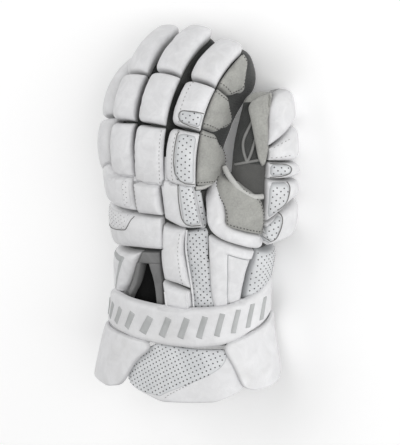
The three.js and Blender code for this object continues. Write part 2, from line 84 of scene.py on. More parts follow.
def makeCamera():
    turn, rise = math.radians(view["turn"]), math.radians(view["rise"])
    toCamera = np.array([math.cos(rise) * math.sin(turn), math.sin(rise), math.cos(rise) * math.cos(turn)])
    right = np.array([math.cos(turn), 0, -math.sin(turn)])
    up = np.cross(toCamera, right)
    data = bpy.data.cameras.new("gloveCamera")
    data.lens, data.clip_end = view["lens"], view["clip"]
    matrix = Matrix((restTurn @ np.stack([right, up, toCamera], 1)).tolist()).to_4x4()
    matrix.translation = Vector(laidDown(np.array(view["target"]) + view["away"] * toCamera))
    camera = added("gloveCamera", data)
    camera.matrix_world = matrix
    bpy.context.scene.camera = camera


lighting = {
    "lamps": {
        "key": {"place": (1.6, 0.15, 1.1), "size": 1.0, "power": 18},
        "fill": {"place": (-1.3, 0.3, 1.2), "size": 1.6, "power": 11},
        "top": {"place": (0.1, 1.4, 1.5), "size": 1.3, "power": 3.5},
    },
    "world": 0.42,
}


def makeLights():
    for name, spec in lighting["lamps"].items():
        data = bpy.data.lights.new(name + "Light", "AREA")
        data.energy, data.size = spec["power"], spec["size"]
        lamp = added(name + "Light", data)
        lamp.location = spec["place"]
        lamp.rotation_euler = (-Vector(spec["place"])).to_track_quat("-Z", "Y").to_euler()
    world = bpy.data.worlds.new("studio")
    world.use_nodes = True
    background = world.node_tree.nodes["Background"].inputs
    background["Color"].default_value = (1, 1, 1, 1)
    background["Strength"].default_value = lighting["world"]
    bpy.context.scene.world = world
    bpy.context.scene.view_settings.view_transform = "Standard"


makeCamera()
makeLights()
print("camera and lights placed")
# Sizes of the glove
hand = {
    "length": 150, "wristWide": 118, "wristDeep": 68, "knuckleWide": 94, "knuckleDeep": 42,
    "height": 50, "sway": 14, "wall": 2.5, "gap": 0.3,
}
thumb = {"baseWide": 54, "baseLength": 120, "length": 124, "wide": 30, "deep": 47, "pad": 11}
finger = {
    "index": 118, "middle": 127, "ring": 125, "little": 96,
    "wide": 21, "deep": 36, "spacing": 26.5, "pad": 11,
}
padding = {"back": 12, "thin": 5, "saddle": 7}
cuff = {"wide": 155, "deep": 104, "thick": 9, "length": 96, "flap": 5}


def table(names, *rows):
    keys = names.split()
    return [dict(zip(keys, row)) for row in rows]


# A value of a table of rows at t, along a smooth curve through the rows
def column(rows, name, t):
    at = np.array([row["at"] for row in rows], float)
    value = np.array([row[name] for row in rows], float)
    t = np.asarray(t, float)
    last = len(rows) - 1
    i = np.clip(np.searchsorted(at, t, side="left") - 1, 0, last - 1)
    lo, hi = np.maximum(np.arange(last + 1) - 1, 0), np.minimum(np.arange(last + 1) + 1, last)
    slope = (value[hi] - value[lo]) / (at[hi] - at[lo])
    span = at[i + 1] - at[i]
    u = (t - at[i]) / span
    m0, m1 = slope[i] * span, slope[i + 1] * span
    h = u * u * (3 - 2 * u)
    inside = value[i] * (1 - h) + value[i + 1] * h + m0 * u * (1 - u) ** 2 - m1 * u * u * (1 - u)
    inside = np.where(u > 1, value[i + 1] + (u - 1) * m1, inside)
    return np.where(u < 0, value[i] + u * m0, inside)


def centre(rail, t):
    return np.stack([column(rail, axis, t) for axis in "xyz"], -1)


def unit(v):
    return v / np.linalg.norm(v, axis=-1, keepdims=True)


def axes(rail, t):
    near = 0.01
    along = unit(centre(rail, t + near) - centre(rail, t - near))
    side = unit(np.array([1.0, 0, 0]) - along * along[..., :1])
    back = unit(np.cross(side, along))
    roll = np.radians(column(rail, "roll", t))[..., None]
    return along, side * np.cos(roll) - back * np.sin(roll), back * np.cos(roll) + side * np.sin(roll)


def skin(rail, t, angle, lift):
    t, angle, lift = np.broadcast_arrays(*(np.asarray(x, float) for x in (t, angle, lift)))
    _, side, back = axes(rail, t)
    power = 2 / column(rail, "square", t)
    s, c = np.sin(np.radians(angle)), np.cos(np.radians(angle))
    x = (column(rail, "wide", t) / 2 + lift) * np.sign(s) * np.abs(s) ** power
    z = (column(rail, "deep", t) / 2 + lift) * np.sign(c) * np.abs(c) ** power
    return centre(rail, t) + side * x[..., None] + back * z[..., None]


# Rows of a rail: a number scales the row's own value, a function works it out from the row
def stretch(rows, scale, extra):
    return [
        {**row, **{key: how(row) if callable(how) else row[key] * how for key, how in scale.items()}, **extra}
        for row in rows
    ]


handRail = stretch(
    table(
        "at x z size square",
        (0.0, 0.5, 0.38, -0.1, 2.2),
        (0.27, 0.4, 0.4, 0.0, 2.2),
        (0.47, 0.1, 0.5, 0.35, 2.2),
        (0.67, -0.2, 0.64, 0.8, 2.2),
        (0.87, -0.4, 0.74, 1.0, 2.3),
        (1.0, -0.45, 0.76, 1.05, 2.4),
    ),
    {
        "x": hand["sway"],
        "y": lambda r: (r["at"] - 0.64) * hand["length"],
        "z": hand["height"],
        "wide": lambda r: hand["wristWide"] + (hand["knuckleWide"] - hand["wristWide"]) * r["size"],
        "deep": lambda r: hand["wristDeep"] + (hand["knuckleDeep"] - hand["wristDeep"]) * r["size"],
    },
    {"roll": 0},
)
baseRail = stretch(
    table(
        "at x z size",
        (0.0, 0.48, 0.3, 1.19),
        (0.31, 0.63, 0.33, 1.26),
        (0.48, 0.74, 0.3, 1.2),
        (0.64, 0.87, 0.24, 1.11),
        (0.81, 1.0, 0.19, 1.0),
        (1.0, 1.09, 0.15, 0.78),
    ),
    {
        "x": thumb["baseWide"],
        "y": lambda r: (r["at"] - 0.725) * thumb["baseLength"],
        "z": thumb["baseWide"],
        "wide": lambda r: r["size"] * thumb["baseWide"],
        "deep": lambda r: r["size"] * thumb["baseWide"],
    },
    {"roll": 45, "square": 2.1},
)
thumbRail = stretch(
    table(
        "at x y z wide deep",
        (0.0, 0.46, -0.22, 0.11, 1.0, 1.05),
        (0.25, 0.535, 0.03, 0.055, 1.0, 1.0),
        (0.5, 0.565, 0.28, 0.045, 0.98, 0.92),
        (0.75, 0.56, 0.53, 0.025, 0.94, 0.84),
        (1.0, 0.53, 0.8, -0.03, 0.8, 0.6),
    ),
    {
        "x": thumb["length"], "y": thumb["length"], "z": thumb["length"],
        "wide": thumb["wide"], "deep": thumb["deep"],
    },
    {"roll": 135, "square": 2.3},
)
cuffRail = stretch(
    table(
        "at wide deep z",
        (0.0, 1.17, 1.14, 0.2),
        (0.3, 1.1, 1.06, 0.18),
        (0.6, 0.99, 1.0, 0.17),
        (1.0, 0.97, 0.99, 0.16),
    ),
    {
        "x": lambda r: 0.45 * hand["sway"],
        "y": lambda r: -0.3 * hand["length"] - cuff["length"] + r["at"] * cuff["length"],
        "z": cuff["deep"], "wide": cuff["wide"] - 2 * cuff["thick"], "deep": cuff["deep"] - 2 * cuff["thick"],
    },
    {"roll": 0, "square": 2.2},
)

# The fingers: how far they have bent along them, and each one's place, lean and size
bend = table("at slope", (0, -3), (0.25, 1), (0.45, 17), (0.62, 31), (0.8, 47), (1, 62))
fingerTable = table(
    "name across up splay roll size belly",
    ("index", 1.24, 0.69, 3, 9, 1.0, 0.3),
    ("middle", 0.23, 0.81, 0, 2, 1.0, 0),
    ("ring", -0.75, 0.78, -4, -6, 0.98, 0),
    ("little", -1.8, 0.54, -8, -18, 0.92, 0),
)
fingerForm = {"steps": 10, "root": 0.16, "taperFrom": 0.75, "taper": 0.35, "bellyBy": 0.5, "square": 2.7}


def fingerRail(spec):
    steps, length, roll = fingerForm["steps"], finger[spec["name"]], spec["roll"]
    point = np.array([
        spec["across"] * finger["spacing"], fingerForm["root"] * hand["length"], spec["up"] * hand["height"],
    ])
    lean, turn = math.radians(roll), math.radians(spec["splay"])
    rows = []
    for i in range(steps + 1):
        at = i / steps
        taper = 1 - fingerForm["taper"] * max(at - fingerForm["taperFrom"], 0)
        extra = spec["belly"] * finger["deep"] * min(1, at / fingerForm["bellyBy"])
        drop = math.radians(float(column(bend, "slope", at)))
        upright = math.cos(lean) * extra / 2
        rows.append({
            "at": at, "x": point[0] - math.sin(lean) * extra / 2, "y": point[1] - math.sin(drop) * upright,
            "z": point[2] - math.cos(drop) * upright, "roll": roll, "square": fingerForm["square"],
            "wide": finger["wide"] * spec["size"] * taper,
            "deep": finger["deep"] * spec["size"] * taper + extra,
        })
        slope = math.radians(float(column(bend, "slope", at + 0.5 / steps)))
        level, down = math.cos(slope) * length / steps, math.sin(slope) * length / steps
        point = point + np.array([math.sin(turn) * level, math.cos(turn) * level, -down])
    return rows


rails = {"hand": handRail, "base": baseRail, "thumb": thumbRail, "cuff": cuffRail}
rails.update({spec["name"]: fingerRail(spec) for spec in fingerTable})
# Places: a stripe runs along a rail, a belt runs round it, and a bent roll turns a corner on it


def stripe(rail, *rows):
    last = len(rows) - 1
    keys = "t", "left", "right", "slant"
    spread = [{"slant": 0, **dict(zip(keys, row)), "at": i / last} for i, row in enumerate(rows)]

    def place(u, v):
        left, right = column(spread, "left", v), column(spread, "right", v)
        return column(spread, "t", v) + column(spread, "slant", v) * (u - 0.5), left + (right - left) * u

    return rails[rail], place


def belt(rail, *rows):
    first, reach = rows[0][0], rows[-1][0] - rows[0][0]
    spread = [{"at": (row[0] - first) / reach, "rear": row[1], "front": row[2]} for row in rows]

    def place(u, v):
        rear, front = column(spread, "rear", u), column(spread, "front", u)
        return rear + (front - rear) * v, first + reach * u

    return rails[rail], place


# Each row of a bent roll is a share of its rail, an angle and half the roll's width
def bentRoll(rail, *rows):
    perShare, perDegree, near = thumb["baseLength"], 0.0092 * thumb["baseWide"], 0.01
    spread = [dict(zip(("t", "angle", "half"), row), at=i / (len(rows) - 1)) for i, row in enumerate(rows)]

    def spot(v):
        return np.stack([column(spread, "t", v) * perShare, column(spread, "angle", v) * perDegree], -1)

    def place(u, v):
        way = unit(spot(v + near) - spot(v - near))
        side = np.stack([way[..., 1], -way[..., 0]], -1)
        at = spot(v) - side * (column(spread, "half", v) * (2 * u - 1))[..., None]
        return at[..., 0] / perShare, at[..., 1] / perDegree

    return rails[rail], place


# Moves shares of a rectangle inwards at its corners, so that they are round. The third result is
# the way to the edge.
def rounded(u, v, across, down, corner):
    du, dv = np.minimum(u, 1 - u) * across, np.minimum(v, 1 - v) * down
    x, y = (1 - du / corner).clip(0), (1 - dv / corner).clip(0)
    far = np.maximum(np.hypot(x, y), 1)
    du = np.where(x > 0, corner * (1 - x / far), du)
    dv = np.where(y > 0, corner * (1 - y / far), dv)
    x, y = (1 - du / corner).clip(0), (1 - dv / corner).clip(0)
    edge = np.where((x > 0) & (y > 0), corner * (1 - np.hypot(x, y)), np.minimum(du, dv)).clip(0)
    u, v = np.where(u < 0.5, du / across, 1 - du / across), np.where(v < 0.5, dv / down, 1 - dv / down)
    return u, v, edge


def pillow(u, power):
    return (1 - np.abs(2 * u - 1) ** power).clip(0) ** (1 / power)


# The named hard surfaces as one search tree, in working millimetres
def nodeTree(names):
    points, faces = [], []
    for name in names:
        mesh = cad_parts[name].data
        start = len(points)
        points.extend(map(tuple, (pointsOf(mesh) * 1000 - rest["shift"]) @ restTurn))
        faces.extend(tuple(start + i for i in polygon.vertices) for polygon in mesh.polygons)
    return BVHTree.FromPolygons(points, faces)


def speckle(points, size, seed):
    shift = Vector((seed * 7.3, seed * 3.1, seed * 5.7))
    values = [noise.noise(Vector(p) / size + shift) for p in points.reshape(-1, 3)]
    return np.array(values).reshape(points.shape[:-1])


# What holds for every pad: shares of its size, a search's tries, and gaps in millimetres
padRules = {
    "rim": 0.45, "corner": 0.48, "measures": 17, "tries": 25, "ease": 0.7, "past": 0.05,
    "least": 0.3, "beyond": 0.2, "clear": 0.25, "under": 0.1,
}
puckerLook = {"fine": 5.5, "fade": 5, "high": 2.2, "broad": 14, "low": 0.9, "from": 2, "apart": 9.0}


# A crowned pad on a rail, as a surface over the unit square
class Pad:
    def __init__(
        self, placed, high, floor=0.15, edge=0.45, power=3, rim=5, corner=1.6, wall=1.0, pull=0.6, spill=0.7,
        both=False, puckers=0.22, grooves=(), sunk=None, neighbours=None, seed=1, tipCorner=None,
    ):
        self.rail, self.placed = placed
        self.pull, self.spill, self.wall = pull, spill, wall
        self.high, self.floor, self.edge, self.power, self.both = high, floor, edge, power, both
        self.puckers, self.grooves, self.neighbours, self.seed = puckers, grooves, neighbours, seed
        self.sunk, self.puff = sunk, None
        line = np.linspace(0, 1, padRules["measures"])
        half = np.full(line.shape, 0.5)
        self.across, self.down = 1e6, 1e6
        self.across, self.down = self.lengthOf(line, half), self.lengthOf(half, line)
        smaller = min(self.across, self.down)
        self.rim = min(rim, padRules["rim"] * smaller)
        self.corner = min(corner, padRules["corner"] * smaller)
        self.tipCorner = min(corner if tipCorner is None else tipCorner, padRules["corner"] * smaller)
        self.size = np.array((self.across, self.down))

    # Spills a little past the drawn outline at the corners and pulls in between them
    def place(self, u, v):
        acrossPull = (self.spill - self.pull * np.sin(math.pi * v)) / self.across
        downPull = (self.spill - self.pull * np.sin(math.pi * u)) / self.down
        return self.placed(u + (2 * u - 1) * acrossPull, v + (2 * v - 1) * downPull)

    # The shares u and v of a place given as a share of its rail and an angle
    def sharesAt(self, t, angle):
        u, v, small = 0.5, 0.5, 1e-4
        low, high, ease = -padRules["past"], 1 + padRules["past"], padRules["ease"]
        for _ in range(padRules["tries"]):
            spots = (u, v), (u + small, v), (u, v + small)
            here, right, front = (np.array(self.place(*at), float) for at in spots)
            slope = np.stack([right - here, front - here], 1) / small
            du, dv = np.linalg.solve(slope, np.array([t, angle]) - here)
            u, v = np.clip(u + ease * du, low, high), np.clip(v + ease * dv, low, high)
        return float(u), float(v)

    # The same for a row of places, in millimetres over the pad
    def spots(self, places):
        return np.array([self.sharesAt(*place) for place in places]) * self.size

    def lengthOf(self, u, v):
        points = skin(self.rail, *self.place(u, v), self.high)
        return np.linalg.norm(np.diff(points, axis=0), axis=1).sum()

    def round(self, u, v):
        corner = np.where(np.asarray(v) < 0.5, self.corner, self.tipCorner)
        return rounded(u, v, self.across, self.down, corner)

    # A quarter round, from 0 at the pad's edge to 1 at the given reach
    def rise(self, u, v, reach):
        inside = (self.round(u, v)[2] / reach).clip(0, 1)
        return np.sqrt((1 - (1 - inside) ** 2).clip(0))

    def pucker(self, u, v, distance):
        look = puckerLook
        flat = np.stack([u * self.across, v * self.down, np.full_like(u, self.seed * look["apart"])], -1)
        fine = speckle(flat, look["fine"], self.seed) * np.exp(-distance / look["fade"]) * look["high"]
        broad = speckle(flat, look["broad"], self.seed) * look["low"]
        return self.puckers * (fine + broad) * (distance / look["from"]).clip(0, 1)

    def topLift(self, u, v):
        crown = pillow(u, self.power) * pillow(v, self.power) * self.rise(u, v, self.rim)
        top = self.high * (self.edge + (1 - self.edge) * crown)
        if self.puckers:
            top = top + self.pucker(u, v, self.round(u, v)[2])
        for groove in self.grooves:
            top = top - self.grooveDepth(u, v, **groove)
        if self.sunk:
            rightOf = ((u - self.sunk["left"]) * self.across / self.sunk["slope"]).clip(0, 1)
            behind = ((self.sunk["front"] - v) * self.down / self.sunk["slope"]).clip(0, 1)
            top = top - self.sunk["depth"] * rightOf * behind
        return top if self.puff is None else top + self.puffAt(u, v)

    # How far the cloth simulation moved the top here, read between its coarse points
    def puffAt(self, u, v):
        rows, cols = self.puff.shape
        x, y = u.clip(0, 1) * (cols - 1), v.clip(0, 1) * (rows - 1)
        i, k = np.minimum(x.astype(int), cols - 2), np.minimum(y.astype(int), rows - 2)
        x, y = x - i, y - k
        x, y = x * x * (3 - 2 * x), y * y * (3 - 2 * y)
        low = self.puff[k, i] * (1 - x) + self.puff[k, i + 1] * x
        return low * (1 - y) + (self.puff[k + 1, i] * (1 - x) + self.puff[k + 1, i + 1] * x) * y

    def grooveDepth(self, u, v, line, depth, wide):
        p = np.stack([u, v], -1) * self.size
        near = np.full(u.shape, np.inf)
        line = np.array(line, float) * self.size
        for a, b in zip(line[:-1], line[1:]):
            share = (((p - a) @ (b - a)) / ((b - a) @ (b - a))).clip(0, 1)
            near = np.minimum(near, np.linalg.norm(p - a - share[..., None] * (b - a), axis=-1))
        return depth * np.exp(-((near / wide) ** 2))

    def lifts(self, u, v):
        top = self.topLift(u, v)
        rise = self.rise(u, v, self.wall)
        if self.both:
            middle = (top + self.floor) / 2
            return middle + (top - middle) * rise, middle + (self.floor - middle) * rise
        return self.floor + (top - self.floor) * rise, np.full_like(top, self.floor - padRules["under"])

    # Stops the surface short of the neighbouring pads
    def heldBack(self, u, v, top):
        if self.neighbours is None:
            return top
        t, angle = self.place(u, v)
        roots, tips = (skin(self.rail, t, angle, lift).reshape(-1, 3) for lift in (self.floor, top))
        held = top.reshape(-1).copy()
        for i, (a, b) in enumerate(zip(roots, tips)):
            reach = np.linalg.norm(b - a)
            if reach < padRules["least"]:
                continue
            way = Vector((b - a) / reach)
            spot, normal, _, far = self.neighbours.ray_cast(Vector(a), way, reach + padRules["beyond"])
            if spot is None:
                continue
            share = 0.0 if normal.dot(way) > 0 else max(far - padRules["clear"], 0) / reach
            held[i] = self.floor + (held[i] - self.floor) * min(share, 1)
        return held.reshape(top.shape)

    # Top and bottom points, and the way to the edge
    def points(self, u, v, proud=0.0):
        u, v, _ = self.round(np.asarray(u, float), np.asarray(v, float))
        top, bottom = self.lifts(u, v)
        top = self.heldBack(u, v, top)
        t, angle = self.place(u, v)
        return skin(self.rail, t, angle, top + proud), skin(self.rail, t, angle, bottom), self.round(u, v)[2]

    # Where the points lie on the pad seen square on, for what is laid out over it
    def flat(self, u, v):
        return squareOn(skin(self.rail, *self.place(*self.round(u, v)[:2]), self.high / 2)).reshape(-1, 2)


def shares(count, ease=0.55):
    line = np.linspace(0, 1, count + 1)
    return ease * (1 - np.cos(math.pi * line)) / 2 + (1 - ease) * line


def gridFaces(rows, cols, start=0, turned=False):
    i, k = np.meshgrid(np.arange(rows - 1), np.arange(cols - 1), indexing="ij")
    a = (start + i * cols + k).ravel()
    quads = np.stack([a, a + 1, a + cols + 1, a + cols], 1)
    return quads[:, ::-1] if turned else quads


def rimFaces(rows, cols, top, bottom):
    ring = [k for k in range(cols)]
    ring += [i * cols + cols - 1 for i in range(1, rows)]
    ring += [(rows - 1) * cols + k for k in range(cols - 2, -1, -1)]
    ring += [i * cols for i in range(rows - 2, 0, -1)]
    ring = np.array(ring)
    after = np.roll(ring, -1)
    return np.stack([top + ring, bottom + ring, bottom + after, top + after], 1)


# Closes two grids of points, one over the other, into one body
def slab(top, bottom):
    rows, cols = top.shape[:2]
    count = rows * cols
    faces = np.concatenate([
        gridFaces(rows, cols), gridFaces(rows, cols, count, True), rimFaces(rows, cols, 0, count),
    ])
    return np.concatenate([top.reshape(-1, 3), bottom.reshape(-1, 3)]), faces


# Shader groups: effects that several finishes share
def put(tree, kind, settings=None, **inputs):
    node = tree.nodes.new(kind)
    for key, value in (settings or {}).items():
        setattr(node, key, value)
    for key, value in inputs.items():
        known = key[0] == "i" and key[1:].isdigit()
        socket = node.inputs[int(key[1:])] if known else node.inputs[key.replace("_", " ")]
        if isinstance(value, bpy.types.NodeSocket):
            tree.links.new(value, socket)
        else:
            socket.default_value = value
    return node


def maths(tree, operation, a, b=0.0, clamp=False):
    node = put(tree, "ShaderNodeMath", {"operation": operation, "use_clamp": clamp}, i0=a, i1=b)
    return node.outputs[0]


# Adds up values, each times its weight
def weighed(tree, *pairs):
    total, *parts = (maths(tree, "MULTIPLY", value, weight) for value, weight in pairs)
    for part in parts:
        total = maths(tree, "ADD", total, part)
    return total


# How many times a size in millimetres goes into a metre
def perMetre(tree, size):
    return maths(tree, "DIVIDE", 1000.0, size)


def noiseAt(tree, coords, scale, **inputs):
    return put(tree, "ShaderNodeTexNoise", Vector=coords, Scale=scale, **inputs).outputs[0]


def effectGroup(name, inputs, outputs=("Height", "Tone")):
    tree = bpy.data.node_groups.new(name, "ShaderNodeTree")
    for label, value in inputs.items():
        socket = tree.interface.new_socket(label, in_out="INPUT", socket_type="NodeSocketFloat")
        socket.default_value = value
    for label in outputs:
        tree.interface.new_socket(label, in_out="OUTPUT", socket_type="NodeSocketFloat")
    given = tree.nodes.new("NodeGroupInput")
    result = tree.nodes.new("NodeGroupOutput")
    coords = tree.nodes.new("ShaderNodeTexCoord").outputs["Object"]
    return tree, given.outputs, result.inputs, coords


effects = {
    "grain": {"smooth": 0.6, "finer": 2.3, "cells": 0.55, "pores": 0.4, "wrinkles": 1.4},
    "nap": {"patches": 0.45, "fibres": 0.55},
    "knit": {"bend": 0.35, "high": 0.5, "bright": 0.25, "fuzz": 1800.0, "patches": 70.0},
    "seam": {"power": 1.6, "smears": 38.0, "from": 0.5, "steep": 3.0},
}


def grainEffect(look):
    tree, given, result, coords = effectGroup("leatherGrain", {"Cell": 1.3, "Crease": 9.0})
    often = perMetre(tree, given["Cell"])
    cells = put(
        tree, "ShaderNodeTexVoronoi", {"feature": "SMOOTH_F1"},
        Vector=coords, Scale=often, Smoothness=look["smooth"],
    ).outputs[0]
    pores = noiseAt(tree, coords, maths(tree, "MULTIPLY", often, look["finer"]), Detail=3.0)
    broad = perMetre(tree, given["Crease"])
    wrinkles = noiseAt(tree, coords, broad, Detail=4.0, Roughness=0.6, Distortion=0.8)
    height = weighed(tree, (cells, look["cells"]), (pores, look["pores"]), (wrinkles, look["wrinkles"]))
    tree.links.new(height, result["Height"])
    tree.links.new(wrinkles, result["Tone"])
    return tree


def napEffect(look):
    tree, given, result, coords = effectGroup("suedeNap", {"Fibre": 0.7, "Patch": 11.0})
    fibres = noiseAt(tree, coords, perMetre(tree, given["Fibre"]), Detail=3.0, Roughness=0.7)
    broad = perMetre(tree, given["Patch"])
    patches = noiseAt(tree, coords, broad, Detail=3.0, Roughness=0.55, Distortion=0.5)
    tree.links.new(fibres, result["Height"])
    tree.links.new(weighed(tree, (patches, look["patches"]), (fibres, look["fibres"])), result["Tone"])
    return tree


def knitEffect(look):
    tree, given, result, coords = effectGroup("knitLoops", {"Rib": 1.5, "Row": 1.1})
    apart = put(tree, "ShaderNodeSeparateXYZ", i0=coords).outputs
    waves = []
    for axis, name in (("X", "Rib"), ("Y", "Row")):
        turns = maths(tree, "DIVIDE", 2000 * math.pi, given[name])
        bent = maths(tree, "ADD", apart[axis], maths(tree, "MULTIPLY", apart["Z"], look["bend"]))
        waves.append(maths(tree, "SINE", maths(tree, "MULTIPLY", bent, turns)))
    loops = maths(tree, "MULTIPLY", *waves)
    fuzz = noiseAt(tree, coords, look["fuzz"], Detail=2.0)
    patches = noiseAt(tree, coords, look["patches"], Detail=3.0)
    tree.links.new(weighed(tree, (loops, look["high"]), (fuzz, 1.0)), result["Height"])
    tree.links.new(weighed(tree, (loops, look["bright"]), (patches, 1.0)), result["Tone"])
    return tree


# Painted shade: the first output darkens a pad towards its edges, where the creases and gaps between pads lie
# in shade. The second output is random dirt smears.
def edgeShadeAndDustEffect(look):
    tree, given, result, coords = effectGroup("seamShade", {"Reach": 3.0, "Grime": 0.4}, ("Seam", "Dust"))
    fromEdge = put(tree, "ShaderNodeAttribute", {"attribute_name": "fromEdge"}).outputs["Fac"]
    away = maths(tree, "DIVIDE", fromEdge, given["Reach"], clamp=True)
    near = maths(tree, "SUBTRACT", 1.0, away, clamp=True)
    tree.links.new(maths(tree, "POWER", near, look["power"]), result["Seam"])
    smears = noiseAt(tree, coords, look["smears"], Detail=5.0, Roughness=0.65)
    over = maths(tree, "SUBTRACT", smears, look["from"], clamp=True)
    dirt = maths(tree, "MULTIPLY", over, look["steep"], clamp=True)
    tree.links.new(maths(tree, "MULTIPLY", dirt, given["Grime"]), result["Dust"])
    return tree


makers = {"grain": grainEffect, "nap": napEffect, "knit": knitEffect, "seam": edgeShadeAndDustEffect}
groups = {name: make(effects[name]) for name, make in makers.items()}


def useGroup(tree, name, *values):
    node = put(tree, "ShaderNodeGroup", {"node_tree": groups[name]})
    for socket, value in zip(node.inputs, values):
        socket.default_value = value
    return node.outputs


def blend(tree, factor, a, b):
    node = put(tree, "ShaderNodeMix", {"data_type": "RGBA"}, i0=factor)
    for socket, value in ((node.inputs[6], a), (node.inputs[7], b)):
        if isinstance(value, bpy.types.NodeSocket):
            tree.links.new(value, socket)
        else:
            socket.default_value = (*np.broadcast_to(value, 3).tolist(), 1)
    return node.outputs[2]


# Finishes: colours are linear, and one number is a grey; sizes, reach and height are millimetres. The colour
# before dust is painted shade towards a pad's edges, reach is how far in it goes, and dust is the colour of
# random smears.
finishes = table(
    "name surface sizes reach grime height rough more light dark seam dust",
    (
        "whiteLeather", "grain", (1.2, 10.0), 1.5, 0.25, 0.22, (0.42, 0.56), {"coat": 0.12},
        (0.79, 0.79, 0.8), (0.67, 0.67, 0.68), 0.42, (0.55, 0.54, 0.51),
    ),
    (
        "perforatedLeather", "grain", (0.9, 16.0), 2.2, 0.3, 0.14, (0.5, 0.64), {"coat": 0.05},
        (0.72, 0.73, 0.74), (0.58, 0.595, 0.61), (0.28, 0.29, 0.3), (0.46, 0.45, 0.43),
    ),
    (
        "cuffLeather", "grain", (1.1, 13.0), 1.6, 0.3, 0.18, (0.46, 0.6), {"coat": 0.08},
        (0.79, 0.79, 0.8), (0.69, 0.69, 0.7), (0.45, 0.45, 0.46), (0.55, 0.54, 0.51),
    ),
    (
        "lightSuede", "nap", (1.5, 9.0), 2.0, 0.35, 0.3, (0.86, 0.97), {"sheen": 0.3},
        (0.46, 0.46, 0.43), (0.27, 0.27, 0.255), (0.17, 0.17, 0.16), (0.27, 0.265, 0.25),
    ),
    (
        "palmSuede", "nap", (0.6, 9.0), 2.4, 0.3, 0.12, (0.88, 0.98), {"sheen": 0.3},
        (0.115, 0.115, 0.11), (0.065, 0.065, 0.062), 0.05, (0.2, 0.2, 0.18),
    ),
    (
        "darkKnit", "knit", (1.5, 1.15), 1.0, 0.25, 0.25, (0.84, 0.96), {"sheen": 0.2},
        (0.065, 0.067, 0.064), (0.024, 0.026, 0.025), 0.02, (0.09, 0.09, 0.085),
    ),
    (
        "ventGrey", "grain", (0.8, 20.0), 1.6, 0.25, 0.06, (0.4, 0.55), {},
        0.2, 0.13, 0.07, (0.25, 0.25, 0.24),
    ),
    (
        "ventBlack", "knit", (1.5, 1.15), 1.0, 0.2, 0.2, (0.85, 0.95), {"specular": 0.1},
        0.006, 0.002, 0.002, 0.02,
    ),
    (
        "silverMark", "grain", (0.8, 20.0), 0.8, 0.2, 0.05, (0.62, 0.74), {"specular": 0.2},
        (0.51, 0.52, 0.52), (0.41, 0.42, 0.42), 0.2, (0.4, 0.4, 0.38),
    ),
    (
        "greyThread", "nap", (0.25, 4.0), 0.5, 0.0, 0.05, (0.7, 0.85), {},
        (0.36, 0.36, 0.35), (0.25, 0.25, 0.24), 0.2, 0.3,
    ),
    # Painted shade: the grey of the tubes that lie in the gaps round the insets.
    (
        "seamGrey", "nap", (0.25, 4.0), 0.5, 0.0, 0.05, (0.6, 0.75), {},
        (0.22, 0.22, 0.215), (0.14, 0.14, 0.135), 0.1, 0.2,
    ),
    # Painted shade: the grey of the tube that lies in the wrist pad's groove.
    (
        "creaseGrey", "nap", (0.25, 4.0), 0.5, 0.0, 0.02, (0.5, 0.65), {},
        (0.42, 0.43, 0.44), (0.33, 0.34, 0.35), 0.3, 0.3,
    ),
    (
        "ribGrey", "nap", (0.5, 5.0), 0.5, 0.2, 0.08, (0.6, 0.8), {},
        (0.27, 0.27, 0.26), (0.18, 0.18, 0.175), 0.1, 0.2,
    ),
    (
        "seamDark", "nap", (0.25, 4.0), 0.5, 0.0, 0.05, (0.7, 0.85), {},
        (0.11, 0.11, 0.105), 0.07, 0.06, 0.1,
    ),
    (
        "rollWhite", "nap", (0.8, 3.0), 0.5, 0.5, 0.25, (0.7, 0.85), {},
        (0.62, 0.62, 0.6), (0.46, 0.46, 0.44), 0.4, (0.3, 0.3, 0.28),
    ),
    # Painted shade: the dark colour of the plugs that stand for the punched holes.
    (
        "holeDark", "nap", (0.4, 6.0), 0.5, 0.0, 0.02, (0.85, 0.95), {},
        0.08, 0.045, 0.02, 0.05,
    ),
)


# The value after tone is the strength of the painted shade towards the pads' edges.
shading = {
    "tone": {"from": 0.3, "steep": 2.2}, "seam": 0.75, "bump": 0.9, "coatRough": 0.45, "sheenRough": 0.5,
    "specular": 0.5,
}


def makeFinish(spec):
    material = bpy.data.materials.new(spec["name"])
    material.use_nodes = True
    tree = material.node_tree
    sockets = tree.nodes["Principled BSDF"].inputs
    surface = useGroup(tree, spec["surface"], *spec["sizes"])
    seam = useGroup(tree, "seam", spec["reach"], spec["grime"])
    over = maths(tree, "SUBTRACT", surface["Tone"], shading["tone"]["from"], clamp=True)
    tone = maths(tree, "MULTIPLY", over, shading["tone"]["steep"], clamp=True)
    dusty = blend(tree, seam["Dust"], blend(tree, tone, spec["light"], spec["dark"]), spec["dust"])
    # Painted shade: near each edge the colour goes towards the finish's shade colour.
    colour = blend(tree, maths(tree, "MULTIPLY", seam["Seam"], shading["seam"]), dusty, spec["seam"])
    smooth, matt = spec["rough"]
    rough = put(tree, "ShaderNodeMapRange", Value=surface["Tone"], To_Min=smooth, To_Max=matt)
    bump = put(
        tree, "ShaderNodeBump", Height=surface["Height"], Distance=spec["height"] / 1000,
        Strength=shading["bump"],
    )
    tree.links.new(colour, sockets["Base Color"])
    tree.links.new(rough.outputs[0], sockets["Roughness"])
    tree.links.new(bump.outputs[0], sockets["Normal"])
    sockets["Coat Weight"].default_value = spec["more"].get("coat", 0)
    sockets["Coat Roughness"].default_value = shading["coatRough"]
    sockets["Sheen Weight"].default_value = spec["more"].get("sheen", 0)
    sockets["Sheen Roughness"].default_value = shading["sheenRough"]
    sockets["Specular IOR Level"].default_value = spec["more"].get("specular", shading["specular"])
    return material


materials = {spec["name"]: makeFinish(spec) for spec in finishes}
print("finishes made")

flatScale = 100.0  # millimetres that one unit of the flat map stands for
farEdge = 9.0  # what stands for the way to the edge, in millimetres, where there is no edge to darken


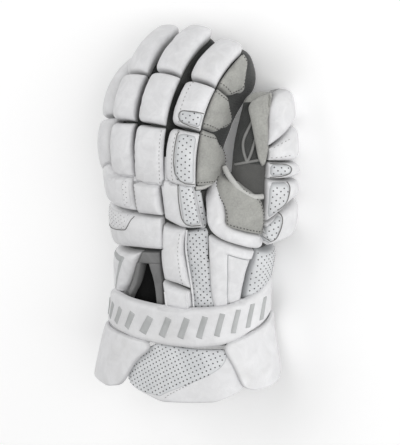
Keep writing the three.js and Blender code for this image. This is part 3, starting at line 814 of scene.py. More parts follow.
def setEdge(mesh, edge):
    known = mesh.attributes.get("fromEdge") or mesh.attributes.new("fromEdge", "FLOAT", "POINT")
    known.data.foreach_set("value", np.full(len(mesh.vertices), edge, np.float32))


def setFlat(mesh, flat):
    index = np.empty(len(mesh.loops), int)
    mesh.loops.foreach_get("vertex_index", index)
    mesh.uv_layers.new(name="flat").data.foreach_set("uv", (flat[index] / flatScale).astype(np.float32).ravel())


# A part is its points, its faces, the points' way to the edge and their place seen square on
def meshObject(name, part, finish):
    points, faces, edge, flat = part
    mesh = bpy.data.meshes.new(name)
    mesh.from_pydata(aboveFloor(points).tolist(), [], faces.tolist())
    mesh.materials.append(materials[finish])
    setEdge(mesh, edge)
    setFlat(mesh, flat)
    mesh.polygons.foreach_set("use_smooth", np.ones(len(mesh.polygons), bool))
    facedOut(mesh)
    mesh.update()
    return added(name, mesh)


# A grid of points seen square on, in millimetres, with the second axis along its columns
def squareOn(grid):
    spots = grid.reshape(-1, 3) - grid.reshape(-1, 3).mean(0)
    normal = np.linalg.svd(spots, full_matrices=False)[2][2]
    front = (grid[-1] - grid[0]).mean(0)
    front = unit(front - normal * (front @ normal))
    flat = np.stack([spots @ np.cross(front, normal), spots @ front], -1)
    return flat.reshape(*grid.shape[:2], 2)


# How many cells a grid has across and down, at a cell size in millimetres
grids = {"pad": (8, 110), "cloth": (8, 44), "patch": (4, 90)}  # the fewest and the most


def cells(kind, size, step):
    return [int(np.clip(length / step, *grids[kind])) for length in size]


def padMesh(pad, step):
    cols, rows = cells("pad", pad.size, step)
    u, v = np.meshgrid(shares(cols), shares(rows))
    top, bottom, edge = pad.points(u, v)
    return *slab(top, bottom), np.tile(edge.ravel(), 2), np.tile(pad.flat(u, v), (2, 1))


padNodes = [name for name in sorted(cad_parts) if not name.endswith("_shell")]
pads = {}


def settle(piece, nodes):
    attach(piece, "root")
    if nodes:
        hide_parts(*nodes)


# A pad is planned first, so that one cloth simulation can blow up all of them together
def planPad(
    name, placed, high, finish="whiteLeather", slot="white_leather", fill=0.8, step=1.15,
    also=(), free=(), **spec,
):
    neighbours = nodeTree([other for other in padNodes if other not in (name, *also, *free)])
    pad = Pad(placed, high, neighbours=neighbours, seed=len(pads) + 1, **spec)
    pad.finish, pad.slot, pad.fill, pad.step, pad.nodes = finish, slot, fill, step, [name, *also]
    pads[name] = pad


# Finger pads: start and end are shares of the finger, left and right degrees round from its back
fingerPads = {
    "look": {"high": finger["pad"], "rim": 4.2, "edge": 0.56, "power": 3.6, "step": 1.0},
    "pads": table(
        "name finger start end left right tipCorner",
        ("index_base_pad", "index", 0.085, 0.4, -52, 38, 1.6),
        ("index_middle_pad", "index", 0.415, 0.675, -52, 38, 1.6),
        ("index_tip_pad", "index", 0.69, 0.985, -50, 36, 9),
        ("middle_base_pad", "middle", 0.075, 0.395, -42, 45, 1.6),
        ("middle_middle_pad", "middle", 0.41, 0.665, -42, 44, 1.6),
        ("middle_tip_pad", "middle", 0.68, 1.01, -42, 42, 9),
        ("ring_base_pad", "ring", 0.09, 0.395, -50, 38, 1.6),
        ("ring_middle_pad", "ring", 0.41, 0.65, -50, 37, 1.6),
        ("ring_tip_pad", "ring", 0.665, 1.01, -50, 36, 9),
        ("little_lower_pad", "little", 0.115, 0.48, -52, 44, 1.6),
        ("little_tip_pad", "little", 0.5, 1.0, -52, 44, 9),
    ),
}
for row in fingerPads["pads"]:
    placed = stripe(row["finger"], *((row[end], row["left"], row["right"]) for end in ("start", "end")))
    planPad(row["name"], placed, tipCorner=row["tipCorner"], **fingerPads["look"])

# Suede side of the index finger, in three lobes
lobes = {
    "left": 40, "form": {"power": 3, "rim": 4, "corner": 6, "fill": 0.5},
    "pads": table(
        "name start end high notch swell last",
        ("index_tip_lobe", 0.7, 0.97, 7, 80, 93, 62),
        ("index_middle_lobe", 0.435, 0.69, 7.5, 80, 99, 80),
        ("index_base_lobe", 0.09, 0.425, 8.5, 98, 108, 80),
    ),
}
for row in lobes["pads"]:
    left, half = lobes["left"], (row["start"] + row["end"]) / 2
    placed = stripe(
        "index", (row["start"], left, row["notch"]), (half, left, row["swell"]),
        (row["end"], left, row["last"]),
    )
    planPad(row["name"], placed, row["high"], "lightSuede", "light_suede", **lobes["form"])

# Back of the hand and the wrist
backPads = {
    "little_ring_knuckle_pad": {
        "placed": belt("hand", (-78, 0.79, 0.93), (-45, 0.75, 0.93), (-5, 0.735, 0.9)),
        "high": padding["back"],
    },
    "middle_knuckle_pad": {
        "placed": belt("hand", (-3, 0.725, 0.9), (9, 0.72, 0.9), (21.5, 0.715, 0.89)),
        "high": padding["back"],
    },
    "index_knuckle_pad": {
        "placed": belt("hand", (23.5, 0.7, 0.89), (42, 0.645, 0.9), (66, 0.625, 0.89)),
        "high": padding["back"] * 0.9,
    },
    "outer_back_pad": {
        "placed": belt("hand", (-80, 0.53, 0.775), (-45, 0.54, 0.74), (-10, 0.555, 0.72), (19, 0.545, 0.7)),
        "high": padding["back"],
    },
    "centre_long_pad": {
        "placed": stripe("hand", (0.35, 13, 35, -0.06), (0.52, 14, 37), (0.65, 21, 44, -0.03)),
        "high": padding["back"],
    },
    "lower_centre_pad": {
        "placed": stripe("hand", (0.2, 10, 34), (0.335, 10, 34, -0.06)),
        "high": padding["back"] * 0.8,
    },
    "perforated_centre_panel": {
        "placed": stripe(
            "hand", (0.2, 34, 66), (0.36, 35, 74), (0.46, 36, 88), (0.54, 38, 92), (0.615, 43, 88)
        ),
        "high": padding["thin"], "finish": "perforatedLeather", "slot": "perforated_white", "fill": 0.4,
        "free": (
            "trapezoid_wrist_pad", "roll_pad", "thumb_base_roll", "perforated_thumb_side_panel", "suede_saddle",
        ),
    },
    "outer_wrist_pad": {
        "placed": stripe("hand", (0.2, -80, -44), (0.35, -80, -28), (0.52, -80, -9)),
        "high": padding["back"],
    },
}
for name, spec in backPads.items():
    planPad(name, **spec)

# Thumb side of the hand; the moulded wrist pad has a flat top with an L sunk in it
wristMould = {
    "groove": {"line": ((0.47, 0.06), (0.44, 0.83), (0.94, 0.84)), "depth": 1.5, "wide": 0.8},
    "sunk": {"left": 0.43, "front": 0.85, "slope": 1.3, "depth": 1.7},
}
sidePads = {
    "roll_pad": {
        "placed": bentRoll(
            "base", (0.985, -79, 8.2), (0.92, -57, 8.2), (0.86, -43, 8), (0.8, -34, 7.6), (0.755, -26, 6.4),
            (0.731, -12, 5.2), (0.728, 12, 4.6), (0.728, 47, 4.6),
        ),
        "high": padding["saddle"] * 1.25, "power": 2.4, "tipCorner": 7,
        "also": ("thumb_base_roll",), "free": ("suede_saddle",),
    },
    "suede_saddle": {
        "placed": stripe("base", (0.77, -14, 42), (0.88, -29, 39), (0.97, -58, 26), (1.04, -68, -18)),
        "high": padding["saddle"], "finish": "lightSuede", "slot": "light_suede", "fill": 0.5,
    },
    "trapezoid_wrist_pad": {
        "placed": stripe("base", (0.25, 2, 34), (0.48, -12, 35), (0.675, -33, 36)), "power": 9, "edge": 0.25,
        "high": padding["thin"] * 1.55, "rim": 7, "puckers": 0.03, "spill": 0.3, "pull": 0.1, "step": 0.6,
        "grooves": (wristMould["groove"],), "sunk": wristMould["sunk"],
        "free": ("cuff_band", "perforated_centre_panel"),
    },
    "perforated_thumb_side_panel": {
        "placed": stripe("base", (0.28, 38, 105), (0.675, 39, 105)),
        "high": padding["thin"] * 2, "finish": "perforatedLeather", "slot": "perforated_white", "fill": 0.5,
    },
}
for name, spec in sidePads.items():
    planPad(name, **spec)

# Thumb
thumbPads = {
    "thumb_tip_cap": {
        "placed": belt("thumb", (-80, 0.74, 0.985), (-58, 0.785, 1.035), (-5, 0.885, 1.07), (76, 0.88, 1.06)),
        "tipCorner": 9,
    },
    "thumb_middle_pad": {"placed": belt("thumb", (-78, 0.66, 0.725), (-5, 0.655, 0.87), (76, 0.66, 0.865))},
    "thumb_upper_panel": {"placed": stripe("thumb", (0.555, -79, 76), (0.645, -79, 76))},
    "thumb_lower_panel": {"placed": belt("thumb", (-79, 0.295, 0.54), (-30, 0.42, 0.54), (60, 0.44, 0.54))},
    "thumb_heel_panel": {"placed": belt("thumb", (-78, 0.14, 0.28), (-45, 0.2, 0.37), (30, 0.25, 0.425))},
}
for name, spec in thumbPads.items():
    planPad(name, high=thumb["pad"], **spec)
thinPads = {
    "thumb_suede_strip": {
        "placed": stripe(
            "thumb", (0.625, -88, -81, 0.02), (0.76, -99, -76), (0.87, -112, -74), (0.96, -122, -72, 0.04),
            (1.02, -112, -68, 0.06),
        ),
        "high": padding["thin"] * 1.5, "finish": "lightSuede", "slot": "light_suede", "fill": 0.3,
        "rim": 4, "power": 2.2, "corner": 7, "puckers": 0.1, "step": 0.8,
    },
    "knuckle_crease_strip": {
        "placed": stripe("hand", (0.6, 64, 78), (0.88, 66, 80)), "high": 2.0, "finish": "perforatedLeather",
        "slot": "perforated_white", "fill": 0.2, "rim": 1.5, "puckers": 0.1, "step": 0.9,
    },
    "palm_patch": {
        "placed": stripe("hand", (0.3, 150, 215), (0.8, 140, 225)), "high": 2.5, "finish": "palmSuede",
        "slot": "palm_suede", "fill": 0.2, "edge": 0.8, "rim": 3, "corner": 12,
    },
}
for name, spec in thinPads.items():
    planPad(name, **spec)

# Cuff: a padded band, two ears and a tongue, each seen from both sides
flapHigh = 2 * cuff["flap"] + hand["gap"]
flapEdge = {"rim": 3.0, "wall": 2.4, "tipCorner": 8}
earEdge = {"floor": cuff["flap"] + hand["gap"], "edge": 0.9, "corner": 17, **flapEdge}
cuffPads = {
    "cuff_band": {
        "placed": belt(
            "cuff", (-118, 0.53, 0.85), (-50, 0.48, 0.79), (5, 0.455, 0.79), (58, 0.515, 0.84),
            (86, 0.62, 0.91), (118, 0.74, 1.06),
        ),
        "high": cuff["thick"], "floor": 0.0, "edge": 0.75, "power": 8, "rim": 5, "wall": 4, "step": 1.6,
        "free": ("perforated_thumb_side_panel",),
    },
    "cuff_outer_ear": {
        "placed": stripe("cuff", (-0.03, -56, -20), (0.05, -88, -11), (0.25, -100, -4), (0.46, -100, 6)),
        "high": flapHigh, **earEdge,
    },
    "cuff_thumb_ear": {
        "placed": stripe(
            "cuff", (0.15, 76, 98, 0.02), (0.22, 70, 118, 0.05), (0.4, 64, 128, 0.1), (0.635, 57, 128, 0.22)
        ),
        "high": flapHigh, **earEdge,
    },
    "cuff_tongue": {
        "placed": stripe(
            "cuff", (0.0, 6, 58, 0.09), (0.11, -10, 74, 0.1), (0.28, -10, 76, 0.06), (0.46, 4, 62, 0.02)
        ),
        "high": cuff["flap"], "floor": 0.0, "edge": 0.8, "corner": 24, **flapEdge,
    },
}
for name, spec in cuffPads.items():
    planPad(name, finish="cuffLeather", slot="white_cuff", both=True, **spec)
print(len(pads), "pads planned")

# Cloth simulation: every pad's cover at ten times its size, blown up while its seams are held.
# What the top moved is kept as a table of lifts over the pad.
swelling = {
    "cell": 2.4, "scale": 100.0, "frames": 20, "cap": 0.9, "share": 0.42, "level": 0.6,
    "skip": ("palm_patch", "knuckle_crease_strip", "trapezoid_wrist_pad"),
    "settings": {
        "quality": 4, "mass": 0.25, "tension_stiffness": 9.0, "compression_stiffness": 9.0,
        "bending_stiffness": 0.35, "vertex_group_mass": "held", "shrink_min": -0.05, "use_pressure": True,
        "uniform_pressure_force": 4.0,
    },
}


def clothCopy(pad):
    cols, rows = cells("cloth", pad.size, swelling["cell"])
    u, v = np.meshgrid(np.linspace(0, 1, cols + 1), np.linspace(0, 1, rows + 1))
    t, angle = pad.place(u, v)
    top, bottom = pad.lifts(u, v)
    upper, lower = skin(pad.rail, t, angle, top), skin(pad.rail, t, angle, bottom)
    points, faces = slab(upper, lower)
    points = (points - upper.reshape(-1, 3).mean(0)) / swelling["scale"]
    mesh = bpy.data.meshes.new("swell")
    mesh.from_pydata(points.tolist(), [], faces.tolist())
    facedOut(mesh)
    piece = added("swell", mesh)
    rim = (np.minimum(u, v) <= 0) | (np.maximum(u, v) >= 1)
    held = np.flatnonzero(rim.ravel()).tolist() + list(range(u.size, 2 * u.size))
    piece.vertex_groups.new(name="held").add(held, 1.0, "REPLACE")
    cloth = piece.modifiers.new("Cloth", "CLOTH")
    for key, value in swelling["settings"].items():
        setattr(cloth.settings, key, value)
    cloth.settings.effector_weights.gravity = 0
    cloth.collision_settings.use_collision = False
    cloth.point_cache.frame_start, cloth.point_cache.frame_end = 1, swelling["frames"]
    outward = unit(skin(pad.rail, t, angle, top + 1) - upper)
    return piece, points[:u.size], outward


def swellPads():
    copies = {name: clothCopy(pad) for name, pad in pads.items() if name not in swelling["skip"]}
    for step in range(1, swelling["frames"] + 1):
        bpy.context.scene.frame_set(step)
    graph = bpy.context.evaluated_depsgraph_get()
    for name, (piece, before, outward) in copies.items():
        after = pointsOf(piece.evaluated_get(graph).data)
        moved = (after[:len(before)] - before) * swelling["scale"]
        lift = (moved.reshape(outward.shape) * outward).sum(-1)
        lift = swelling["share"] * (lift - lift.mean() * swelling["level"])
        pads[name].puff = lift.clip(-swelling["cap"], swelling["cap"])
    for piece, *_ in copies.values():
        bpy.data.objects.remove(piece)
    bpy.context.scene.frame_set(1)
    print("cloth simulation run on", len(copies), "pads")


swellPads()

for name, pad in pads.items():
    piece = meshObject(name + "_cover", padMesh(pad, pad.step), pad.finish)
    settle(piece, pad.nodes)
print("pads made")

# Vent frame: two legs under a head, with a black lining behind its window
vent = {
    "left": stripe("hand", (0.2, -38, -29.5), (0.33, -27, -18), (0.465, -15, -9.5)),
    "right": stripe("hand", (0.2, 1.5, 7.5), (0.36, 0.5, 8.5), (0.465, -2.4, 10)),
    "head": stripe("hand", (0.455, -14, 10), (0.53, -7, 11)),
    "lining": stripe("hand", (0.19, -33, 2), (0.33, -18, 1), (0.46, -7, -1.5)),
    "high": padding["thin"], "liningHigh": 0.7, "step": 0.9, "liningStep": 1.5,
    "form": {"puckers": 0, "spill": 0, "pull": 0}, "frame": {"rim": 1.6, "edge": 0.85, "corner": 0.6},
    "backing": {"rim": 1, "edge": 1, "wall": 0.5},
}


def joinParts(parts):
    points, faces, edges, flats = zip(*parts)
    starts = np.cumsum([0] + [len(each) for each in points])
    faces = [each + start for each, start in zip(faces, starts)]
    return [np.concatenate(each) for each in (points, faces, edges, flats)]


ventTree = nodeTree([other for other in padNodes if other != "vent_frame"])
ventParts = []
for side in ("left", "right", "head"):
    leg = Pad(vent[side], vent["high"], neighbours=ventTree, **vent["form"], **vent["frame"])
    ventParts.append(padMesh(leg, vent["step"]))
settle(meshObject("vent_frame_moulding", joinParts(ventParts), "ventGrey"), ["vent_frame"])
lining = Pad(vent["lining"], vent["liningHigh"], **vent["form"], **vent["backing"])
settle(meshObject("vent_lining", padMesh(lining, vent["liningStep"]), "ventBlack"), [])
# Details that lie on the pads: a place is a share of the pad's rail and an angle round it


def along(line, step):
    line = np.asarray(line, float)
    reach = np.concatenate([[0], np.cumsum(np.linalg.norm(np.diff(line, axis=0), axis=1))])
    count = max(int(reach[-1] / step), 2) + 1
    at = np.linspace(0, reach[-1], count)
    return np.stack([np.interp(at, reach, line[:, axis]) for axis in range(line.shape[1])], -1)


trails = {"step": 0.8, "railStep": 1.0, "perShare": 100}


# Rounds the corners of a line of points by cutting them twice
def eased(line):
    line = np.asarray(line, float)
    for _ in range(2):
        before, after = line[:-1], line[1:]
        cuts = np.stack([0.75 * before + 0.25 * after, 0.25 * before + 0.75 * after], 1)
        line = np.concatenate([line[:1], cuts.reshape(-1, line.shape[1])[1:-1], line[-1:]])
    return line


def onPad(pad, line, proud):
    flat = along(line, trails["step"])
    return pad.points(*(flat / pad.size).T, proud)[0]


def trail(name, places, proud=0.1):
    return onPad(pads[name], eased(pads[name].spots(places)), proud)


def borderTrail(name, inset, sides, proud=0.1):
    pad = pads[name]
    x0, x1, y0, y1 = inset, pad.across - inset, inset, pad.down - inset
    corners = {
        "b": ((x1, y0), (x0, y0)), "l": ((x0, y0), (x0, y1)),
        "f": ((x0, y1), (x1, y1)), "r": ((x1, y1), (x1, y0)),
    }
    return onPad(pad, eased([point for side in sides for point in corners[side]]), proud)


def railTrail(rail, places, lift):
    line = along(eased(np.array(places) * (trails["perShare"], 1)), trails["railStep"])
    return skin(rails[rail], line[:, 0] / trails["perShare"], line[:, 1], lift)


# A thin raised patch on a pad, between four places: rear left, rear right, front right, front left
patchForm = {"step": 0.9, "round": 0.9, "corner": 3.5, "share": 0.4, "sunk": 0.3, "under": 0.9}


def patch(name, corners, proud):
    form, pad = patchForm, pads[name]
    a, b, c, d = pad.spots(corners) / pad.size
    wide = (np.linalg.norm((b - a) * pad.size) + np.linalg.norm((c - d) * pad.size)) / 2
    tall = (np.linalg.norm((d - a) * pad.size) + np.linalg.norm((c - b) * pad.size)) / 2
    cols, rows = cells("patch", (wide, tall), form["step"])
    corner = min(form["corner"], form["share"] * wide, form["share"] * tall)
    x, y, distance = rounded(*np.meshgrid(shares(cols), shares(rows)), wide, tall, corner)
    x, y = x[..., None], y[..., None]
    uv = (a * (1 - x) + b * x) * (1 - y) + (d * (1 - x) + c * x) * y
    rise = np.sqrt(1 - (1 - (distance / form["round"]).clip(0, 1)) ** 2)
    u, v = uv[..., 0], uv[..., 1]
    top = pad.points(u, v, (proud + form["sunk"]) * rise - form["sunk"])[0]
    bottom = pad.points(u, v, -form["under"])[0]
    return *slab(top, bottom), np.tile(distance.ravel(), 2), np.tile(pad.flat(u, v), (2, 1))


# A flat mark that follows a line on a pad, with its half width given at each place
ribbonForm = {
    "step": 0.7, "across": np.array([-1.0, -0.82, 0.0, 0.82, 1.0]), "sunk": 0.2, "under": 0.7, "margin": 0.002,
}


def ribbon(name, places, halfWidths, proud=0.3):
    form, pad = ribbonForm, pads[name]
    line = np.concatenate([pad.spots(places), np.array(halfWidths, float)[:, None]], 1)
    line = along(line, form["step"])
    spot, half = line[:, :2], line[:, 2]
    way = unit(np.gradient(spot, axis=0))
    side = np.stack([-way[:, 1], way[:, 0]], -1)
    flat = spot[:, None] + side[:, None] * (half[:, None] * form["across"])[..., None]
    lift = np.full(flat.shape[:2], proud)
    lift[0] = lift[-1] = -form["sunk"]
    lift[:, 0] = lift[:, -1] = -form["sunk"]
    uv = (flat / pad.size).clip(form["margin"], 1 - form["margin"])
    u, v = uv[..., 0], uv[..., 1]
    points, faces = slab(pad.points(u, v, lift)[0], pad.points(u, v, -form["under"])[0])
    return points, faces, np.full(len(points), farEdge), np.tile(flat.reshape(-1, 2), (2, 1))


# Geometry Nodes for what repeats or follows a line


def newTree(name, inputs):
    tree = bpy.data.node_groups.new(name, "GeometryNodeTree")
    tree.interface.new_socket("Geometry", in_out="INPUT", socket_type="NodeSocketGeometry")
    for label, value in inputs.items():
        kind = "NodeSocketInt" if isinstance(value, int) else "NodeSocketFloat"
        tree.interface.new_socket(label, in_out="INPUT", socket_type=kind).default_value = value
    tree.interface.new_socket("Finish", in_out="INPUT", socket_type="NodeSocketMaterial")
    tree.interface.new_socket("Geometry", in_out="OUTPUT", socket_type="NodeSocketGeometry")
    return tree, tree.nodes.new("NodeGroupInput").outputs, tree.nodes.new("NodeGroupOutput").inputs[0]


def metres(tree, size):
    return maths(tree, "DIVIDE", size, 1000.0)


def stored(tree, geometry, kind, name, value):
    node = "GeometryNodeStoreNamedAttribute"
    return put(tree, node, {"data_type": kind}, Geometry=geometry, Name=name, Value=value).outputs[0]


def named(tree, kind, name):
    return put(tree, "GeometryNodeInputNamedAttribute", {"data_type": kind}, Name=name).outputs[0]


def endTree(tree, instances, given, result):
    real = put(tree, "GeometryNodeRealizeInstances", Geometry=instances)
    smooth = put(tree, "GeometryNodeSetShadeSmooth", Geometry=real.outputs[0])
    finished = put(tree, "GeometryNodeSetMaterial", Geometry=smooth.outputs[0], Material=given["Finish"])
    tree.links.new(finished.outputs[0], result)


detail = {
    "plug": {"Vertices": 8, "Depth": 0.0003}, "bead": {"Segments": 6, "Rings": 4, "Radius": 0.5},
    "pipe": {"Resolution": 8},
}


def perforationTree():
    tree, given, result = newTree("perforations", {
        "Pitch": 2.7, "Row": 2.3, "Radius": 0.5, "Margin": 1.5, "Left": 0.0, "Rear": 0.0,
        "Columns": 10, "Rows": 10,
    })
    number, vector = "FLOAT", "FLOAT_VECTOR"
    count = maths(tree, "MULTIPLY", given["Columns"], given["Rows"])
    index = put(tree, "GeometryNodeInputIndex").outputs[0]
    row = maths(tree, "FLOOR", maths(tree, "DIVIDE", maths(tree, "ADD", index, 0.5), given["Columns"]))
    column = maths(tree, "MODULO", index, given["Columns"])
    column = maths(tree, "ADD", column, maths(tree, "MULTIPLY", maths(tree, "MODULO", row, 2.0), 0.5))
    x = maths(tree, "ADD", given["Left"], maths(tree, "MULTIPLY", column, given["Pitch"]))
    y = maths(tree, "ADD", given["Rear"], maths(tree, "MULTIPLY", row, given["Row"]))
    x, y = (maths(tree, "DIVIDE", value, flatScale) for value in (x, y))
    spot = put(tree, "ShaderNodeCombineXYZ", i0=x, i1=y).outputs[0]
    points = put(tree, "GeometryNodePoints", Count=count, Position=spot).outputs[0]
    flat, edge = named(tree, vector, "flat"), named(tree, number, "fromEdge")
    where = put(tree, "GeometryNodeInputPosition").outputs[0]

    def sampled(kind, value):
        node = put(
            tree, "GeometryNodeSampleUVSurface", {"data_type": kind},
            Mesh=given["Geometry"], UV_Map=flat, Sample_UV=where,
        )
        tree.links.new(value, node.inputs["Value"])
        return node.outputs

    place, found = list(sampled(vector, where))[:2]
    normal = sampled(vector, put(tree, "GeometryNodeInputNormal").outputs[0])[0]
    inside = sampled(number, edge)[0]
    fits = maths(tree, "MULTIPLY", found, maths(tree, "GREATER_THAN", inside, given["Margin"]))
    points = stored(tree, points, vector, "up", normal)
    points = stored(tree, points, number, "fits", fits)
    points = put(tree, "GeometryNodeSetPosition", Geometry=points, Position=place).outputs[0]
    spare = put(
        tree, "FunctionNodeCompare", {"data_type": number, "operation": "LESS_THAN"},
        i0=named(tree, number, "fits"), i1=0.5,
    ).outputs[0]
    kept = put(tree, "GeometryNodeDeleteGeometry", {"domain": "POINT"}, Geometry=points, Selection=spare)
    up = named(tree, vector, "up")
    turn = put(tree, "FunctionNodeAlignRotationToVector", {"axis": "Z"}, Vector=up).outputs[0]
    radius = metres(tree, given["Radius"])
    plug = put(tree, "GeometryNodeMeshCylinder", Radius=radius, **detail["plug"]).outputs[0]
    holes = put(tree, "GeometryNodeInstanceOnPoints", Points=kept.outputs[0], Instance=plug, Rotation=turn)
    endTree(tree, holes.outputs[0], given, result)
    return tree


def stitchTree():
    tree, given, result = newTree("stitches", {"Pitch": 2.4, "Length": 1.5, "Thick": 0.5})
    line = put(tree, "GeometryNodeMeshToCurve", Mesh=given["Geometry"]).outputs[0]
    pitch, length, thick = (metres(tree, given[name]) for name in ("Pitch", "Length", "Thick"))
    spots = put(tree, "GeometryNodeCurveToPoints", {"mode": "LENGTH"}, Curve=line, Length=pitch).outputs
    bead = put(tree, "GeometryNodeMeshUVSphere", **detail["bead"]).outputs[0]
    size = put(tree, "ShaderNodeCombineXYZ", i0=thick, i1=thick, i2=length).outputs[0]
    stitches = put(
        tree, "GeometryNodeInstanceOnPoints", Points=spots["Points"], Instance=bead,
        Rotation=spots["Rotation"], Scale=size,
    )
    endTree(tree, stitches.outputs[0], given, result)
    return tree


def pipingTree():
    tree, given, result = newTree("piping", {"Radius": 0.5})
    line = put(tree, "GeometryNodeMeshToCurve", Mesh=given["Geometry"]).outputs[0]
    radius = metres(tree, given["Radius"])
    ring = put(tree, "GeometryNodeCurvePrimitiveCircle", Radius=radius, **detail["pipe"]).outputs[0]
    tube = put(tree, "GeometryNodeCurveToMesh", Curve=line, Profile_Curve=ring, Fill_Caps=True)
    endTree(tree, tube.outputs[0], given, result)
    return tree


trees = {"perforations": perforationTree(), "stitches": stitchTree(), "piping": pipingTree()}


# Runs a tree on a mesh and keeps only the plain mesh that comes out
def grown(mesh, treeName, finish, **inputs):
    host = added("host", mesh)
    step = host.modifiers.new(treeName, "NODES")
    step.node_group = trees[treeName]
    sockets = trees[treeName].interface.items_tree
    known = {item.name: item.identifier for item in sockets if item.in_out == "INPUT"}
    for name, value in inputs.items():
        step[known[name]] = value
    step[known["Finish"]] = materials[finish]
    result = bpy.data.meshes.new_from_object(host.evaluated_get(bpy.context.evaluated_depsgraph_get()))
    bpy.data.objects.remove(host)
    return result


def lineMesh(lines):
    points, edges = [], []
    for line in lines:
        start = len(points)
        points.extend(laidDown(line).tolist())
        edges.extend((start + i, start + i + 1) for i in range(len(line) - 1))
    mesh = bpy.data.meshes.new("lines")
    mesh.from_pydata(points, edges, [])
    return mesh


# The top half of a part, as a mesh that a tree can sample
def surfaceMesh(part):
    points, faces, edge, flat = part
    half = len(points) // 2
    mesh = bpy.data.meshes.new("surface")
    mesh.from_pydata(laidDown(points[:half]).tolist(), [], faces[faces.max(1) < half].tolist())
    setEdge(mesh, edge[:half])
    setFlat(mesh, flat[:half])
    return mesh


# Joins finished meshes of one finish into one piece
def gathered(name, meshes, finish):
    work = bmesh.new()
    for mesh in meshes:
        work.from_mesh(mesh)
    bmesh.ops.recalc_face_normals(work, faces=work.faces)
    result = bpy.data.meshes.new(name)
    work.to_mesh(result)
    work.free()
    result.materials.clear()
    result.materials.append(materials[finish])
    for polygon in result.polygons:
        polygon.material_index = 0
        polygon.use_smooth = True
    setEdge(result, farEdge)
    settle(added(name, result), [])
    print(name, len(result.polygons), "faces")


# Punched leather: inset patches on the pads, and the panels that are punched all over
punched = {
    "margin": 1.1,
    "coarse": {"pitch": 4.8, "row": 2.4, "radius": 0.58, "proud": 0.35, "finish": "perforatedLeather"},
    "fine": {"pitch": 4.6, "row": 2.1, "radius": 0.32, "proud": 0.08, "finish": "whiteLeather"},
    "insets": {
        "index_base_pad": ((0.112, -2), (0.112, 34), (0.385, 32), (0.385, -3)),
        "index_middle_pad": ((0.426, -6), (0.424, 34), (0.518, 34), (0.498, -8)),
        "index_knuckle_pad": ((0.665, 43.5), (0.65, 63), (0.885, 63), (0.885, 45)),
        "thumb_upper_panel": ((0.565, -77), (0.585, -43), (0.635, -40), (0.64, -77)),
        "thumb_lower_panel": ((0.31, -77), (0.41, -50), (0.535, -42), (0.535, -77)),
        "thumb_heel_panel": ((0.16, -74), (0.21, -58), (0.355, -54), (0.275, -76)),
        "cuff_tongue": ((0.012, -8.5), (0.012, 13), (0.51, 63), (0.5, -6)),
    },
    "fineInsets": {
        "outer_back_pad": ((0.645, -78), (0.65, -14), (0.72, -9), (0.75, -78)),
        "little_ring_knuckle_pad": ((0.755, -15), (0.755, -6.5), (0.885, -6), (0.885, -13)),
    },
    "panels": ("perforated_centre_panel", "perforated_thumb_side_panel", "knuckle_crease_strip"),
    "turn": {"cuff_tongue": -30},
}


def punch(part, look, turn=0):
    points, faces, edge, flat = part
    c, s = math.cos(math.radians(turn)), math.sin(math.radians(turn))
    flat = flat @ np.array([[c, s], [-s, c]])
    low, high = flat.min(0), flat.max(0)
    return grown(
        surfaceMesh((points, faces, edge, flat)), "perforations", "holeDark",
        Pitch=look["pitch"], Row=look["row"], Radius=look["radius"], Margin=punched["margin"],
        Left=float(low[0]), Rear=float(low[1]),
        Columns=int((high[0] - low[0]) / look["pitch"]) + 2, Rows=int((high[1] - low[1]) / look["row"]) + 2,
    )


# Painted shade: each hole is a flat plug whose dark colour stands for the shade inside the hole.
holes = []
for look, group in ((punched["coarse"], punched["insets"]), (punched["fine"], punched["fineInsets"])):
    for name, corners in group.items():
        part = patch(name, corners, look["proud"])
        settle(meshObject(name + "_inset", part, look["finish"]), [])
        holes.append(punch(part, look, punched["turn"].get(name, 0)))
for name in punched["panels"]:
    holes.append(punch(padMesh(pads[name], pads[name].step), punched["coarse"]))
gathered("punched_holes", holes, "holeDark")
print("punched leather made")
# Marks: the bent stripe on the wrist and the plain slanted bars on the cuff
marks = {
    "stripe": {
        "places": ((0.5, -78), (0.492, -50), (0.482, -27), (0.37, -38), (0.23, -47)),
        "half": (0.3, 1.0, 2.0, 1.2, 0.3),
    },
    "bars": {
        "count": 13, "first": -66, "gap": 13.5, "slant": 5.0, "half": 2.7, "proud": 0.7,
        "low": ((-70, 0.555), (-16, 0.53), (4, 0.53), (34, 0.56), (72, 0.63), (110, 0.75)),
        "high": ((-70, 0.70), (-16, 0.68), (4, 0.685), (34, 0.735), (72, 0.82), (110, 0.92)),
    },
}
spec = marks["stripe"]
parts = [ribbon("outer_wrist_pad", spec["places"], spec["half"])]
spec = marks["bars"]
for i in range(spec["count"]):
    middle = spec["first"] + i * spec["gap"]
    ends = middle - spec["slant"] / 2, middle + spec["slant"] / 2
    places = [(np.interp(angle, *zip(*spec[key])), angle) for angle, key in zip(ends, ("low", "high"))]
    parts.append(ribbon("cuff_band", places, (spec["half"], spec["half"]), spec["proud"]))
settle(meshObject("silver_marks", joinParts(parts), "silverMark"), [])
print("marks made")

